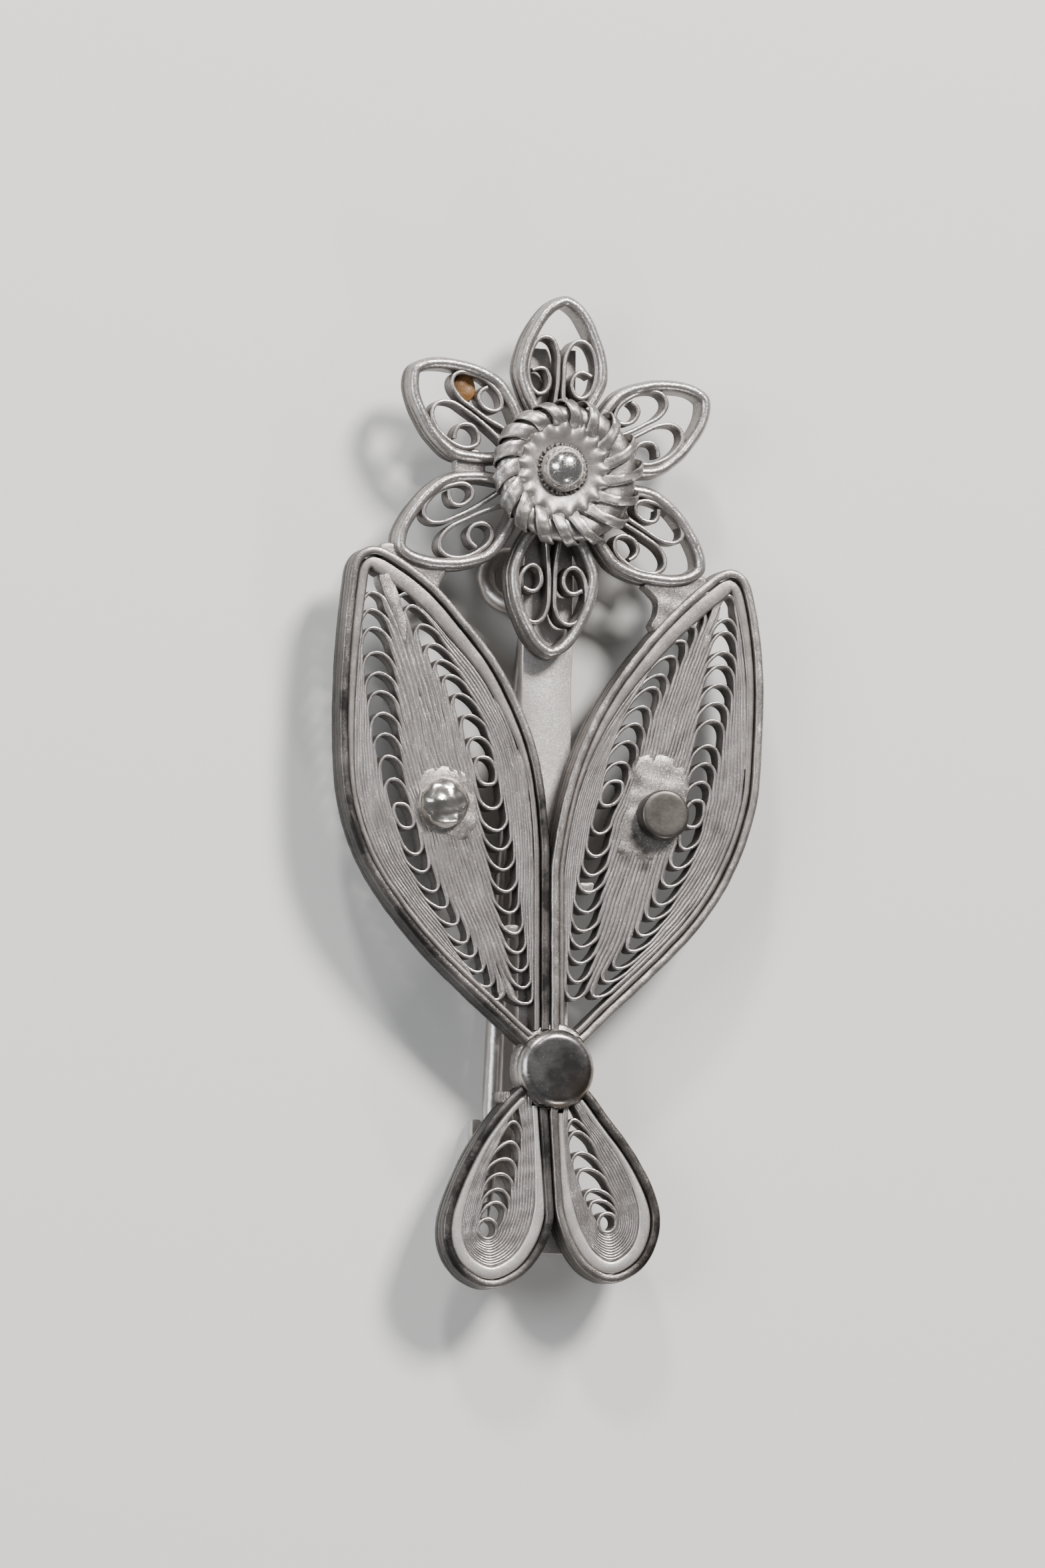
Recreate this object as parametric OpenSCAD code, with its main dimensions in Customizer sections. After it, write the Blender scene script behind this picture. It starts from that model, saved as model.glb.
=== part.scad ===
// Saree pin in silver filigree. A flower of six petals, two leaves and two drop-shaped lobes
// are soldered to a flat strip, which carries a sprung wire pin and its catch behind.
// The pin lies on its back: X to the right, Y towards the flower, Z out of the face.

/* [Stack, back to front] */
// Diameter of the pin wire
wire_d = 1.0; // [0.8:0.1:1.0]
// Thickness of the backing strip
strip_t = 0.7; // [0.5:0.1:1.0]
// Depth of the frame wire, from the strip to the face
frame_depth = 1.4; // [1.3:0.1:1.8]
// Thickness of the frame wire, seen from the front
frame_w = 0.5; // [0.4:0.05:0.6]
// How far the filigree lies behind the frame's front edge
fill_recess = 0.25; // [0.15:0.05:0.4]
// Depth of the filigree
fill_depth = 1.0; // [0.8:0.1:1.0]
// Gap left where two pieces are soldered
solder_gap = 0.05; // [0.03:0.01:0.08]

/* [Flower] */
// Widest half-width of a petal
petal_half_w = 2.5; // [2.3:0.05:2.5]
// Thickness of a petal's frame, seen from the front
petal_frame_w = 0.6; // [0.5:0.05:0.65]
// Thickness of a scroll ribbon
ribbon_t = 0.24; // [0.18:0.02:0.3]
// Number of loops in the rosette
loops = 17; // [15:1:19]
// Radius of the rosette at the middle of its loops
rosette_r = 2.98; // [2.9:0.02:3.1]
// Radius of the centre ball
ball_r = 1.1; // [0.9:0.05:1.1]

/* [Strip, knop and studs] */
// Width of the backing strip
strip_w = 2.7; // [2.4:0.1:3.0]
// Length of the backing strip
strip_len = 45.5; // [44:0.5:46]
// Radius of the knop
knop_r = 2.0; // [1.8:0.1:2.2]
// How far the knop stands out of the face
knop_rise = 0.45; // [0.3:0.05:0.8]
// Radius of the two leaf studs
stud_r = 1.3; // [1.1:0.1:1.4]
// Height of the two leaf studs
stud_h = 0.95; // [0.7:0.05:1.2]

/* [Pin and catch] */
// Radius of the spring loop, at the middle of the wire
loop_r = 1.33; // [1.2:0.05:1.5]
// Length of the pin leg, from the loop to the point
leg_len = 32; // [30:0.5:33]
// How far the leg slants to the left on its way to the catch
leg_slant = 2.6; // [2.2:0.1:2.6]
// Width of the catch along the pin
catch_w = 2.9; // [2.5:0.1:3.5]
// Thickness of the catch's strip
catch_t = 0.45; // [0.4:0.05:0.5]
// Height of the catch's lip
lip_h = 1.3; // [0.9:0.1:1.5]

/* [Hidden] */
$fn = 48;

// Heights: the wire lies twice over itself in the loop, under the strip
strip_z = 2 * wire_d + 2 * solder_gap;
frame_z = strip_z + strip_t + solder_gap;
face_z = frame_z + frame_depth;
fill_top = face_z - fill_recess;

// Edges of the catch
catch_left = -3.3;
catch_right = 1.1;
catch_top_left = -1.3;

// Rise of the leaves and lobes towards the right, for each mm across
slant = 0.034;

// Places in the plan
flower = [0.12, 15.97];
knop_at = [0.1, -14.0];
spring_at = [-1.1, 10.8];
dome_at = [-5.8, -0.88];
disc_at = [5.69, -1.16];
strip_mid = [0.05, -0.35];
strip_lean = 0.83;

// Petals, clockwise from the top: angle from the vertical, distance to the tip, scrolls moved outwards,
// share of the half-width on the left side and on the right side, looking outwards
PETALS = [[4, 9.05, 0.05, 0.95, 1], [63, 9.3, 0.3, 0.94, 1], [121, 9.3, 0.6, 0.9, 1],
          [181.5, 9.4, 0.9, 1, 0.93], [243, 9.4, 0.5, 1.02, 0.93], [303.5, 9.1, 0.4, 1.05, 0.93]];

// Half a petal: distance from the flower's middle, share of the widest half-width
PETAL = [[1.9, 0.22], [3.0, 0.61], [4.0, 0.85], [5.1, 1], [6.4, 0.93], [7.5, 0.75], [8.4, 0.53],
         [9.0, 0.29]];

// One scroll ribbon: distance from the flower's middle, distance from the petal's axis
SCROLL = [[2.3, 0.4], [3.9, 0.19], [5.0, 0.16], [5.9, 0.2], [6.55, 0.5], [6.75, 0.97], [6.5, 1.45],
          [5.8, 1.78], [5.0, 1.84], [4.25, 1.66], [3.85, 1.2], [4.05, 0.75], [4.6, 0.6], [5.1, 0.85],
          [5.15, 1.25]];

// Leaves: height in the plan, left edge, right edge
LEAF_LEFT = [[11.5, -10.56, -7.9], [10.1, -10.78, -5.98], [8.4, -10.98, -4.53], [6.5, -11.14, -2.94],
             [3.8, -11.25, -1.53], [1.7, -11.2, -0.76], [-0.7, -10.98, -0.37], [-3.6, -9.98, -0.17],
             [-5.8, -8.52, -0.17], [-8.05, -6.66, -0.17], [-10.3, -4.3, -0.17], [-12.4, -1.95, -0.17],
             [-13.3, -1.15, -0.17]];
LEAF_LEFT_TIP = [-9.47, 12.22];
LEAF_RIGHT = [[10.6, 8.3, 10.42], [8.7, 6.05, 10.92], [6.2, 3.83, 11.22], [3.95, 2.27, 11.22],
              [1.55, 1.15, 11.1], [-0.9, 0.4, 10.88], [-4.05, -0.17, 9.75], [-6.85, -0.17, 7.95],
              [-9.55, -0.17, 5.2], [-11.9, -0.17, 2.5], [-13.3, -0.17, 1.1]];
LEAF_RIGHT_TIP = [9.43, 11.2];

// Lobes: height in the plan, left edge, right edge
LOBE_LEFT = [[-14.7, -1.6, -0.3], [-16.5, -3.35, -0.1], [-18.4, -4.6, 0], [-20.4, -5.5, 0.1],
             [-21.9, -5.85, -0.05], [-23.3, -5.55, -0.7], [-24.3, -4.75, -1.6]];
LOBE_LEFT_FOOT = [-3.25, -24.95];
LOBE_RIGHT = [[-14.7, 0.3, 1.5], [-16.5, -0.3, 2.95], [-18.4, -0.2, 4.4], [-20.4, 0, 5.42],
              [-21.9, 0.28, 5.68], [-23.3, 0.95, 5.25], [-24.2, 1.7, 4.5]];
LOBE_RIGHT_FOOT = [3.05, -24.8];

// Soldered joints between the leaves and between the lobes: a point and the slope of x against y
LEAF_JOINT = [[-0.17, -8], 0];
LOBE_JOINT = [[-0.12, -18.4], -0.06];

// Solder that bridges the corner between a leaf and the petal next to it
WEB_LEFT = [[-8.9, 11.4], [-6.7, 9.6], [-6.15, 9.75], [-5.85, 10.3], [-5.75, 11.2], [-8.6, 12.4]];
WEB_RIGHT = [[5.3, 8.15], [6.1, 7.9], [8.1, 10.1], [7.9, 10.8], [5.4, 10.4], [5.55, 9.3]];

// Columns of filigree loops, two to a leaf: top and bottom of the innermost loop, heights of the
// crowns above it, heights of the feet below it
LOOPS_LEFT = [[[-0.62, -2], [0.6, 1.75, 2.85, 3.88, 4.97, 5.9, 6.93, 8.15, 9.08, 9.95],
               [-3.3, -4.2, -5.17, -6, -6.85, -7.75, -8.45, -9.2, -9.95, -10.6]],
              [[1.7, 0.15], [2.7, 3.8, 4.85, 5.8, 6.53, 7.35, 8.33, 9.27, 9.9],
               [-1.05, -2.15, -3.1, -4.1, -5.2, -6.25, -7.3, -8.25, -9.15, -10, -10.8]]];
LOOPS_RIGHT = [[[0.5, -0.9], [1.45, 2.48, 3.38, 4.25, 5.2, 5.87, 6.8, 7.6, 8.35, 9.1, 10.05],
                [-2.3, -3.45, -4.4, -5.25, -6.25, -7.2, -8, -8.8, -9.75, -10.6]],
               [[-0.5, -2], [0.45, 1.38, 2.3, 3.55, 4.45, 5.37, 6.35, 7.03, 8.05, 8.7, 9.88],
                [-3.1, -4.07, -4.97, -5.9, -6.62, -7.45, -8.22, -9.08, -9.75, -10.5]]];

// Gap down the middle of each column: height, middle of the gap, its half-width
GAPS_LEFT = [[[10.2, -9.45, 0.25], [9.2, -9.5, 0.45], [8.4, -9.43, 0.6], [6.3, -9.2, 0.7],
              [4.3, -8.95, 0.66], [2.3, -8.72, 0.6], [0, -8.25, 0.46], [-1.2, -7.85, 0.43],
              [-3.6, -7.1, 0.46], [-5.5, -6.1, 0.44], [-7, -5.1, 0.46], [-8, -4.6, 0.43],
              [-9.3, -3.85, 0.4], [-10.8, -2.95, 0.3]],
             [[10.1, -7.8, 0.2], [9.6, -7.6, 0.3], [8.8, -7.2, 0.43], [7.8, -6.55, 0.52],
              [6.8, -6.05, 0.5], [5.1, -5.05, 0.48], [3.2, -4.15, 0.57], [1, -3.5, 0.48],
              [-0.3, -3.28, 0.52], [-1.5, -3.05, 0.6], [-3.5, -2.65, 0.6], [-5.5, -2.4, 0.55],
              [-7.5, -1.95, 0.46], [-9.2, -1.65, 0.4], [-11, -1.3, 0.3]]];
GAPS_RIGHT = [[[10.1, 8.6, 0.2], [9.6, 8.3, 0.4], [8.7, 7.65, 0.55], [7.1, 6.53, 0.63],
               [5.5, 5.55, 0.67], [3.8, 4.6, 0.66], [1.8, 3.78, 0.68], [-0.2, 3.15, 0.5],
               [-1.4, 2.68, 0.45], [-3.7, 2.23, 0.56], [-5.4, 1.85, 0.6], [-7.4, 1.62, 0.62],
               [-9.1, 1.4, 0.5], [-11, 1.05, 0.35]],
              [[10.1, 9.45, 0.2], [9.4, 9.38, 0.38], [8.4, 9.28, 0.5], [6.7, 9.12, 0.65],
               [4.8, 8.83, 0.73], [2.9, 8.43, 0.7], [0.9, 8.05, 0.6], [-1.2, 7.55, 0.46],
               [-2.6, 7.3, 0.45], [-4.4, 6.48, 0.5], [-6.1, 5.63, 0.46], [-7.7, 4.63, 0.46],
               [-9.3, 3.25, 0.42], [-10.8, 2.1, 0.3]]];

// Loops and gap of each lobe, with the eye as the innermost loop
LOOPS_LOBE = [[[-21.3, -22.5], [-20.5, -19.85, -19.1, -18.35, -17.5, -16.6], []],
              [[-21.1, -22.3], [-20.5, -19.95, -18.9, -18.1, -17.15, -16.5], []]];
GAPS_LOBE = [[[-21.9, -3.42, 0.5], [-21, -3.05, 0.6], [-20.1, -2.92, 0.64], [-18.8, -2.65, 0.7],
              [-18, -2.35, 0.6], [-17.1, -2.12, 0.42], [-16, -2, 0.15]],
             [[-21.7, 2.87, 0.48], [-20.5, 2.4, 0.66], [-19.5, 2, 0.68], [-18.6, 1.65, 0.64],
              [-17.6, 1.4, 0.55], [-16.8, 1.2, 0.38], [-15.9, 1, 0.15]]];
// Thickness of a loop's strip between two gaps
strip_between = 0.2;

// Point between b and c on the smooth curve through a, b, c and d
function smooth_point(a, b, c, d, t) =
    0.5 * (2 * b + (c - a) * t + (2 * a - 5 * b + 4 * c - d) * t * t + (3 * b - a - 3 * c + d) * t * t * t);

// Smooth closed curve through the points p, n steps between neighbours
function closed_curve(p, n) =
    [for (i = [0:len(p) - 1], k = [0:n - 1])
        smooth_point(p[(i + len(p) - 1) % len(p)], p[i], p[(i + 1) % len(p)], p[(i + 2) % len(p)], k / n)];

// Smooth open curve through the points p, n steps between neighbours
function open_curve(p, n) =
    concat([for (i = [0:len(p) - 2], k = [0:n - 1])
        smooth_point(p[max(i - 1, 0)], p[i], p[i + 1], p[min(i + 2, len(p) - 1)], k / n)],
        [p[len(p) - 1]]);

// Unit normal to the left of the way through the points p at point i
function left_normal(p, i, j, k) = let (t = (p[k] - p[j]) / norm(p[k] - p[j])) [-t.y, t.x];

// Counter-clockwise outline p moved inwards by d
function inset(p, d) =
    [for (i = [0:len(p) - 1]) p[i] + d * left_normal(p, i, (i + len(p) - 1) % len(p), (i + 1) % len(p))];

// Both sides of a ribbon of thickness t along the open curve p
function ribbon(p, t) =
    let (n = len(p) - 1,
         side = [for (i = [0:n]) left_normal(p, i, max(i - 1, 0), min(i + 1, n))])
    concat([for (i = [0:n]) p[i] - side[i] * t / 2], [for (i = [n:-1:0]) p[i] + side[i] * t / 2]);

// Outline from a table of sections and an end point above or below them, counter-clockwise
function section_outline(rows, top, foot) =
    concat(top, [for (r = rows) [r[1], r[0]]], foot,
           [for (i = [len(rows) - 1:-1:0]) [rows[i][2], rows[i][0]]]);

// Value of a table at height y: column 1 is the middle of a gap, column 2 its half-width
function at_height(rows, y, column) = lookup(y, [for (r = rows) [r[0], r[column]]]);

// Outline kept to one side of a soldered joint, less a frame of width w
function joint_x(joint, y) = joint[0].x + joint[1] * (y - joint[0].y);
function keep_left(p, joint, w) = [for (q = p) [min(q.x, joint_x(joint, q.y) - solder_gap / 2 - w), q.y]];
function keep_right(p, joint, w) = [for (q = p) [max(q.x, joint_x(joint, q.y) + solder_gap / 2 + w), q.y]];

// Outline p of a leaf's opening, closed above the knop
leaf_foot = -12.2;
function above(p) = [for (q = p) if (q.y > leaf_foot) q];

// Outline of petal number i, pointing up
function petal_outline(i) =
    let (tip = PETALS[i][1],
         side = [for (r = PETAL) [r[1] * petal_half_w, r[0] * tip / 9.3]])
    closed_curve(concat([for (q = side) [q.x * PETALS[i][4], q.y]], [[0, tip]],
        [for (k = [len(side) - 1:-1:0]) [-side[k].x * PETALS[i][3], side[k].y]], [[0, 1.6]]), 4);

// Opening in a petal's frame: the inset outline without the part that crosses over itself
function petal_opening(outline) =
    let (ring = inset(outline, petal_frame_w))
    [for (i = [0:len(ring) - 1]) if (ring[i].y > 2.9 && ring[i].x * outline[i].x >= 0) ring[i]];

// Points of a leaf or lobe, raised towards the right
function raised(p) = [for (q = p) [q.x, q.y + slant * q.x]];

// One gap between two loops: pointed at both sides, its round top up or down
module loop_gap(x, y, half_w, rise, dip, up) {
    steps = 6;
    top = [for (k = [0:steps]) [half_w * cos(180 * k / steps), rise * sin(180 * k / steps)]];
    under = [for (k = [steps - 1:-1:1]) [half_w * cos(180 * k / steps), dip * sin(180 * k / steps)]];
    polygon(raised([for (q = concat(top, under)) [x + q.x, y + up * q.y]]));
}

// Gaps of one column: the innermost loop's, and those from each crown or foot to the next
module loop_column(loops, gap) {
    ring = loops[0];
    corners = 14;
    mid_y = (ring[0] + ring[1]) / 2;
    mid_x = at_height(gap, mid_y, 1);
    half_w = at_height(gap, mid_y, 2) - 0.06;
    half_h = (ring[0] - ring[1]) / 2 - strip_between;
    polygon(raised([for (k = [0:corners - 1])
        [mid_x + half_w * cos(360 * k / corners), mid_y + half_h * sin(360 * k / corners)]]));
    for (side = [1, 2]) {
        up = side == 1 ? 1 : -1;
        ends = concat([ring[side - 1]], loops[side]);
        if (len(ends) > 1) for (k = [1:len(ends) - 1]) {
            y = ends[k - 1] - up * 0.15;
            loop_gap(at_height(gap, y + up * 0.3, 1), y, at_height(gap, y + up * 0.2, 2),
                     abs(ends[k] - y) - strip_between, 0.17, up);
        }
    }
}

// A plate with this outline at height z, cut back where the knop stands
module clear_of_knop(z, depth) {
    difference() {
        translate([0, 0, z]) linear_extrude(depth) children();
        translate([knop_at.x, knop_at.y, z - 1]) cylinder(r = knop_r + solder_gap, h = depth + 2);
    }
}

module at_petal(i) {
    translate([flower.x, flower.y, 0]) rotate([0, 0, -PETALS[i][0]]) children();
}

module petal(i) {
    outline = petal_outline(i);
    color("silver") at_petal(i) union() {
        translate([0, 0, frame_z]) linear_extrude(frame_depth) difference() {
            polygon(outline);
            polygon(petal_opening(outline));
        }
        for (side = [-1, 1])
            translate([0, 0, fill_top - fill_depth]) linear_extrude(fill_depth) intersection() {
                polygon(inset(outline, petal_frame_w / 2));
                polygon(ribbon(open_curve([for (q = SCROLL)
                    [side * q[1] * PETALS[i][side > 0 ? 4 : 3], q[0] + PETALS[i][2]]], 4), ribbon_t));
            }
    }
}

// A ring of slanted loops: its section swells and slants with every loop, and it is wider on the right
module rosette_ring() {
    around = loops * 6;
    section = 10;
    half_w = 0.88;
    half_h = 0.72;
    mid_z = face_z + solder_gap + half_h * 1.12;
    points = [for (i = [0:around - 1], k = [0:section - 1])
        let (v = 360 * k / section,
             wave = cos(loops * 360 * i / around),
             u = 360 * i / around - 5 * cos(v),
             spread = 0.08 * (1 + cos(360 * i / around)),
             r = rosette_r + spread + (half_w + spread) * cos(v) * (1 + 0.06 * wave),
             z = half_h * sin(v) * (1 + 0.12 * wave))
        [flower.x + r * cos(u), flower.y + r * sin(u), mid_z + z]];
    faces = [for (i = [0:around - 1], k = [0:section - 1])
        let (j = (i + 1) % around, m = (k + 1) % section)
        [i * section + k, i * section + m, j * section + m, j * section + k]];
    color("silver") polyhedron(points, faces, convexity = 8);
}

// Thickness of the dish under the ball, and height of the ball's middle over the dish's underside
seat = 0.3;
ball_mid = 1.05;

// Dish with a raised collar round the pocket that holds the ball
module rosette_dish() {
    rim = rosette_r - 0.88 * 1.06 - solder_gap - 0.05;
    pocket = ball_r + solder_gap;
    color("gainsboro")
    translate([flower.x, flower.y, face_z + solder_gap]) rotate_extrude()
        polygon([[0, 0], [rim, 0], [rim, 1.05], [rim - 0.15, 1.15], [1.55, 0.95],
                 [1.45, 1.05], [pocket + 0.1, 1.05], [pocket, 0.95], [pocket, seat], [0, seat]]);
}

// Ball with a flat filed on its underside
module centre_ball() {
    color("whitesmoke")
    translate([flower.x, flower.y, face_z + solder_gap]) intersection() {
        translate([0, 0, ball_mid]) sphere(r = ball_r);
        translate([0, 0, seat + solder_gap]) cylinder(r = ball_r + 1, h = 3);
    }
}

module backing_strip() {
    color("lightgray")
    translate([strip_mid.x, strip_mid.y, strip_z])
    rotate([0, 0, -strip_lean])
    translate([-strip_w / 2, -strip_len / 2, 0]) cube([strip_w, strip_len, strip_t]);
}

module leaf(outline, ring, loops, gaps, web, neighbour) {
    union() {
        translate([0, 0, frame_z + 0.2]) linear_extrude(frame_depth - 0.5) difference() {
            polygon(raised(web));
            polygon(raised(inset(outline, frame_w / 2)));
            at_petal(neighbour) polygon(inset(petal_outline(neighbour), -solder_gap));
        }
        clear_of_knop(frame_z, frame_depth) difference() {
            polygon(raised(outline));
            polygon(raised(ring));
        }
        clear_of_knop(fill_top - fill_depth, fill_depth) difference() {
            polygon(raised(above(inset(outline, frame_w * 0.8))));
            for (i = [0, 1]) loop_column(loops[i], gaps[i]);
        }
    }
}

module leaf_left() {
    whole = closed_curve(section_outline(LEAF_LEFT, [LEAF_LEFT_TIP], []), 3);
    color("silver")
    leaf(keep_left(whole, LEAF_JOINT, 0),
         above(keep_left(inset(whole, frame_w), LEAF_JOINT, frame_w)),
         LOOPS_LEFT, GAPS_LEFT, WEB_LEFT, 4);
}

module leaf_right() {
    whole = closed_curve(section_outline(LEAF_RIGHT, [LEAF_RIGHT_TIP], []), 3);
    color("silver")
    leaf(keep_right(whole, LEAF_JOINT, 0),
         above(keep_right(inset(whole, frame_w), LEAF_JOINT, frame_w)),
         LOOPS_RIGHT, GAPS_RIGHT, WEB_RIGHT, 2);
}

// A lobe: frame, and coiled fill with its eye and the loops between the eye and the knop
module lobe(outline, ring, loops, gap) {
    union() {
        clear_of_knop(frame_z, frame_depth) difference() {
            polygon(raised(outline));
            polygon(raised(ring));
        }
        clear_of_knop(fill_top - fill_depth, fill_depth) difference() {
            polygon(raised(inset(outline, frame_w * 0.8)));
            loop_column(loops, gap);
        }
    }
}

module lobe_left() {
    whole = closed_curve(section_outline(LOBE_LEFT, [], [LOBE_LEFT_FOOT]), 4);
    color("silver")
    lobe(keep_left(whole, LOBE_JOINT, 0), keep_left(inset(whole, frame_w), LOBE_JOINT, frame_w),
         LOOPS_LOBE[0], GAPS_LOBE[0]);
}

module lobe_right() {
    whole = closed_curve(section_outline(LOBE_RIGHT, [], [LOBE_RIGHT_FOOT]), 4);
    color("silver")
    lobe(keep_right(whole, LOBE_JOINT, 0), keep_right(inset(whole, frame_w), LOBE_JOINT, frame_w),
         LOOPS_LOBE[1], GAPS_LOBE[1]);
}

// Rounded stud that stands on the left leaf's fill
module dome_stud() {
    round_from = 0.35;
    steps = 6;
    color("whitesmoke")
    translate([dome_at.x, dome_at.y, fill_top + solder_gap]) rotate_extrude()
        polygon(concat([[0, 0], [stud_r, 0]],
            [for (k = [0:steps]) [stud_r * cos(90 * k / steps),
                                  round_from + (stud_h - round_from) * sin(90 * k / steps)]]));
}

// Flat-topped stud that stands on the right leaf's fill
module disc_stud() {
    bevel = 0.12;
    color("darkgray")
    translate([disc_at.x, disc_at.y, fill_top + solder_gap]) rotate_extrude()
        polygon([[0, 0], [stud_r, 0], [stud_r, stud_h - bevel], [stud_r - bevel, stud_h], [0, stud_h]]);
}

// Disc on the strip, between the ends of the leaves and of the lobes
module knop() {
    height = frame_depth + knop_rise;
    bevel = 0.35;
    color("gray")
    translate([knop_at.x, knop_at.y, frame_z]) rotate_extrude()
        polygon([[0, 0], [knop_r, 0], [knop_r, height - bevel], [knop_r - 0.1, height - 0.15],
                 [knop_r - bevel, height], [0, height]]);
}

// Wire centre line with its radius: leg soldered to the strip, one loop, leg to the point
lean = atan(1.7 * leg_slant / leg_len);
loop_z = [strip_z - solder_gap - wire_d / 2, wire_d / 2];
catch_z = catch_t + (strip_z - solder_gap - 2 * catch_t) / 2;
function ease(t) = let (c = min(max(t, 0), 1)) c * c * (3 - 2 * c);
function loop_point(a) =
    [spring_at.x + loop_r * cos(a), spring_at.y - loop_r * sin(a),
     loop_z[0] + (loop_z[1] - loop_z[0]) * ease((a - 60) / 180), wire_d / 2];
function leg_point(t, from) =
    [from.x - leg_slant * t * (1.7 - 0.7 * t), from.y - leg_len * t,
     loop_z[1] + (catch_z - loop_z[1]) * ease(t / 0.8),
     wire_d / 2 * (t < 0.8 ? 1 : t < 0.93 ? 1 - (t - 0.8) * 1.6 : (1 - t) / 0.07 * 0.77 + 0.02)];
LEG_SHARES = [0.05, 0.12, 0.2, 0.3, 0.4, 0.5, 0.6, 0.7, 0.8, 0.86, 0.93, 0.965, 1];
PIN_PATH = let (turn = 360 + lean, from = loop_point(turn))
    concat([for (y = [6.4, 4.3, 2.15]) loop_point(0) + [0, y, 0, 0]],
           [for (k = [0:32]) loop_point(turn * k / 32)],
           [for (t = LEG_SHARES) leg_point(t, from)]);

// Round wire of 12 sides swept along the rows [x, y, z, radius] of p
module swept_wire(p) {
    sides = 12;
    last = len(p) - 1;
    points = [for (i = [0:last])
        let (a = p[max(i - 1, 0)], b = p[min(i + 1, last)],
             d = [b.x - a.x, b.y - a.y, b.z - a.z], t = d / norm(d),
             across = [-t.y, t.x, 0] / norm([t.x, t.y]), up = cross(t, across))
        for (k = [0:sides - 1])
            [p[i].x, p[i].y, p[i].z]
            + p[i][3] * (across * sin(360 * k / sides) + up * cos(360 * k / sides))];
    skin = [for (i = [0:last - 1], k = [0:sides - 1])
        let (m = (k + 1) % sides)
        [i * sides + k, i * sides + m, (i + 1) * sides + m, (i + 1) * sides + k]];
    polyhedron(points, concat(skin, [[for (k = [sides - 1:-1:0]) k]],
        [[for (k = [0:sides - 1]) last * sides + k]]), convexity = 8);
}

module spring_pin() {
    color("lightgray") swept_wire(PIN_PATH);
}

// Strip bent into a hook: its upper end lies on the backing strip, its foot runs under the pin
// and ends in a lip
module catch() {
    top = strip_z - solder_gap;
    color("lightgray")
    translate([0, -16.4, 0]) rotate([90, 0, 0]) linear_extrude(catch_w)
        polygon([[catch_left, 0], [catch_right - 0.2, 0], [catch_right, 0.2], [catch_right, top],
                 [catch_top_left, top], [catch_top_left, top - catch_t],
                 [catch_right - catch_t, top - catch_t], [catch_right - catch_t, catch_t],
                 [catch_left + catch_t, catch_t], [catch_left + catch_t, lip_h], [catch_left, lip_h]]);
}

petal(0);  // petal_1
petal(1);  // petal_2
petal(2);  // petal_3
petal(3);  // petal_4
petal(4);  // petal_5
petal(5);  // petal_6
rosette_ring();
rosette_dish();
centre_ball();
backing_strip();
leaf_left();
leaf_right();
dome_stud();
disc_stud();
knop();
lobe_left();
lobe_right();
spring_pin();
catch();
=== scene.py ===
"""Saree pin in silver filigree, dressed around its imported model: wirework of hairpin ribbons in
leaf and lobe frames, petals with scroll ribbons, a coiled rosette, studs, knop, strip, pin, catch and
runs of solder. Lengths are in millimetres until put() makes a mesh of them."""

import bpy
import numpy as np
from mathutils import Matrix, Vector


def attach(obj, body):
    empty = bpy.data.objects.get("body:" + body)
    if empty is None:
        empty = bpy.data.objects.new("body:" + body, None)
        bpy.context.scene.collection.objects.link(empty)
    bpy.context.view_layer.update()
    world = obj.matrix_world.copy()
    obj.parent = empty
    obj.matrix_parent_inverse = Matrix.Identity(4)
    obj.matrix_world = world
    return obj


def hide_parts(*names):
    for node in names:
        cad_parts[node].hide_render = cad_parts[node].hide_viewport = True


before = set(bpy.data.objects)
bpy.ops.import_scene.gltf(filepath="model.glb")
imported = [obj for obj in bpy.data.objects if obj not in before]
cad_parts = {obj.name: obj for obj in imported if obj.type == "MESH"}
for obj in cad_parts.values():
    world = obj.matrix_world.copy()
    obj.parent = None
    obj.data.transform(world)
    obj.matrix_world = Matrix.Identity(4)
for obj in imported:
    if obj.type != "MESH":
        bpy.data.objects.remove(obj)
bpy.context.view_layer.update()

# Heights of the stack, as in the CAD
FRAME_Z, FACE_Z, FILL_LOW, FILL_TOP, STRIP_Z = 2.85, 4.25, 3, 4.02, 2.1
# Widths of the frame strips, and half of a ribbon's
FRAME_W, PETAL_W, HALF_RIBBON = 0.43, 0.6, 0.08
# Distances from the knop's middle at which the frames and the strips inside them stop
FRAME_END, LINER_END = 1.9, 2.06

# Places in the plan
FLOWER = np.array([0.12, 15.97])
KNOP = np.array([0.1, -14])
DOME = np.array([-5.8, -0.88])
DISC = np.array([5.69, -1.16])

# Rise of the leaves and lobes towards the right, for each mm across
SLANT = 0.034
# Petals, clockwise from the top: angle, tip distance, scrolls moved out, left share, right share
PETALS = [
    (4, 9.05, 0.05, 0.95, 1), (63, 9.3, 0.35, 0.94, 1), (121, 9.3, 0.6, 0.9, 1),
    (181.5, 9.4, 0.9, 1, 0.93), (243, 9.4, 0.5, 1.02, 0.93), (303.5, 9.1, 0.25, 1.05, 0.93)]
PETAL_HALF_W = 2.5
# Distance from the flower's middle, share of the widest half-width
PETAL = np.array([
    (1.9, 0.22), (3, 0.61), (4, 0.85), (5.1, 1), (6.4, 0.93), (7.5, 0.75), (8.4, 0.53), (9, 0.29)])
# Distance from the flower's middle, distance from the petal's axis
SCROLL = np.array([
    (2.3, 0.4), (3.9, 0.19), (5, 0.16), (5.9, 0.2), (6.55, 0.5), (6.75, 0.97), (6.5, 1.45), (5.8, 1.78),
    (5, 1.84), (4.25, 1.66), (3.85, 1.2), (4.05, 0.75), (4.6, 0.6), (5.08, 0.85), (5.15, 1.25),
    (5, 1.6)])

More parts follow.
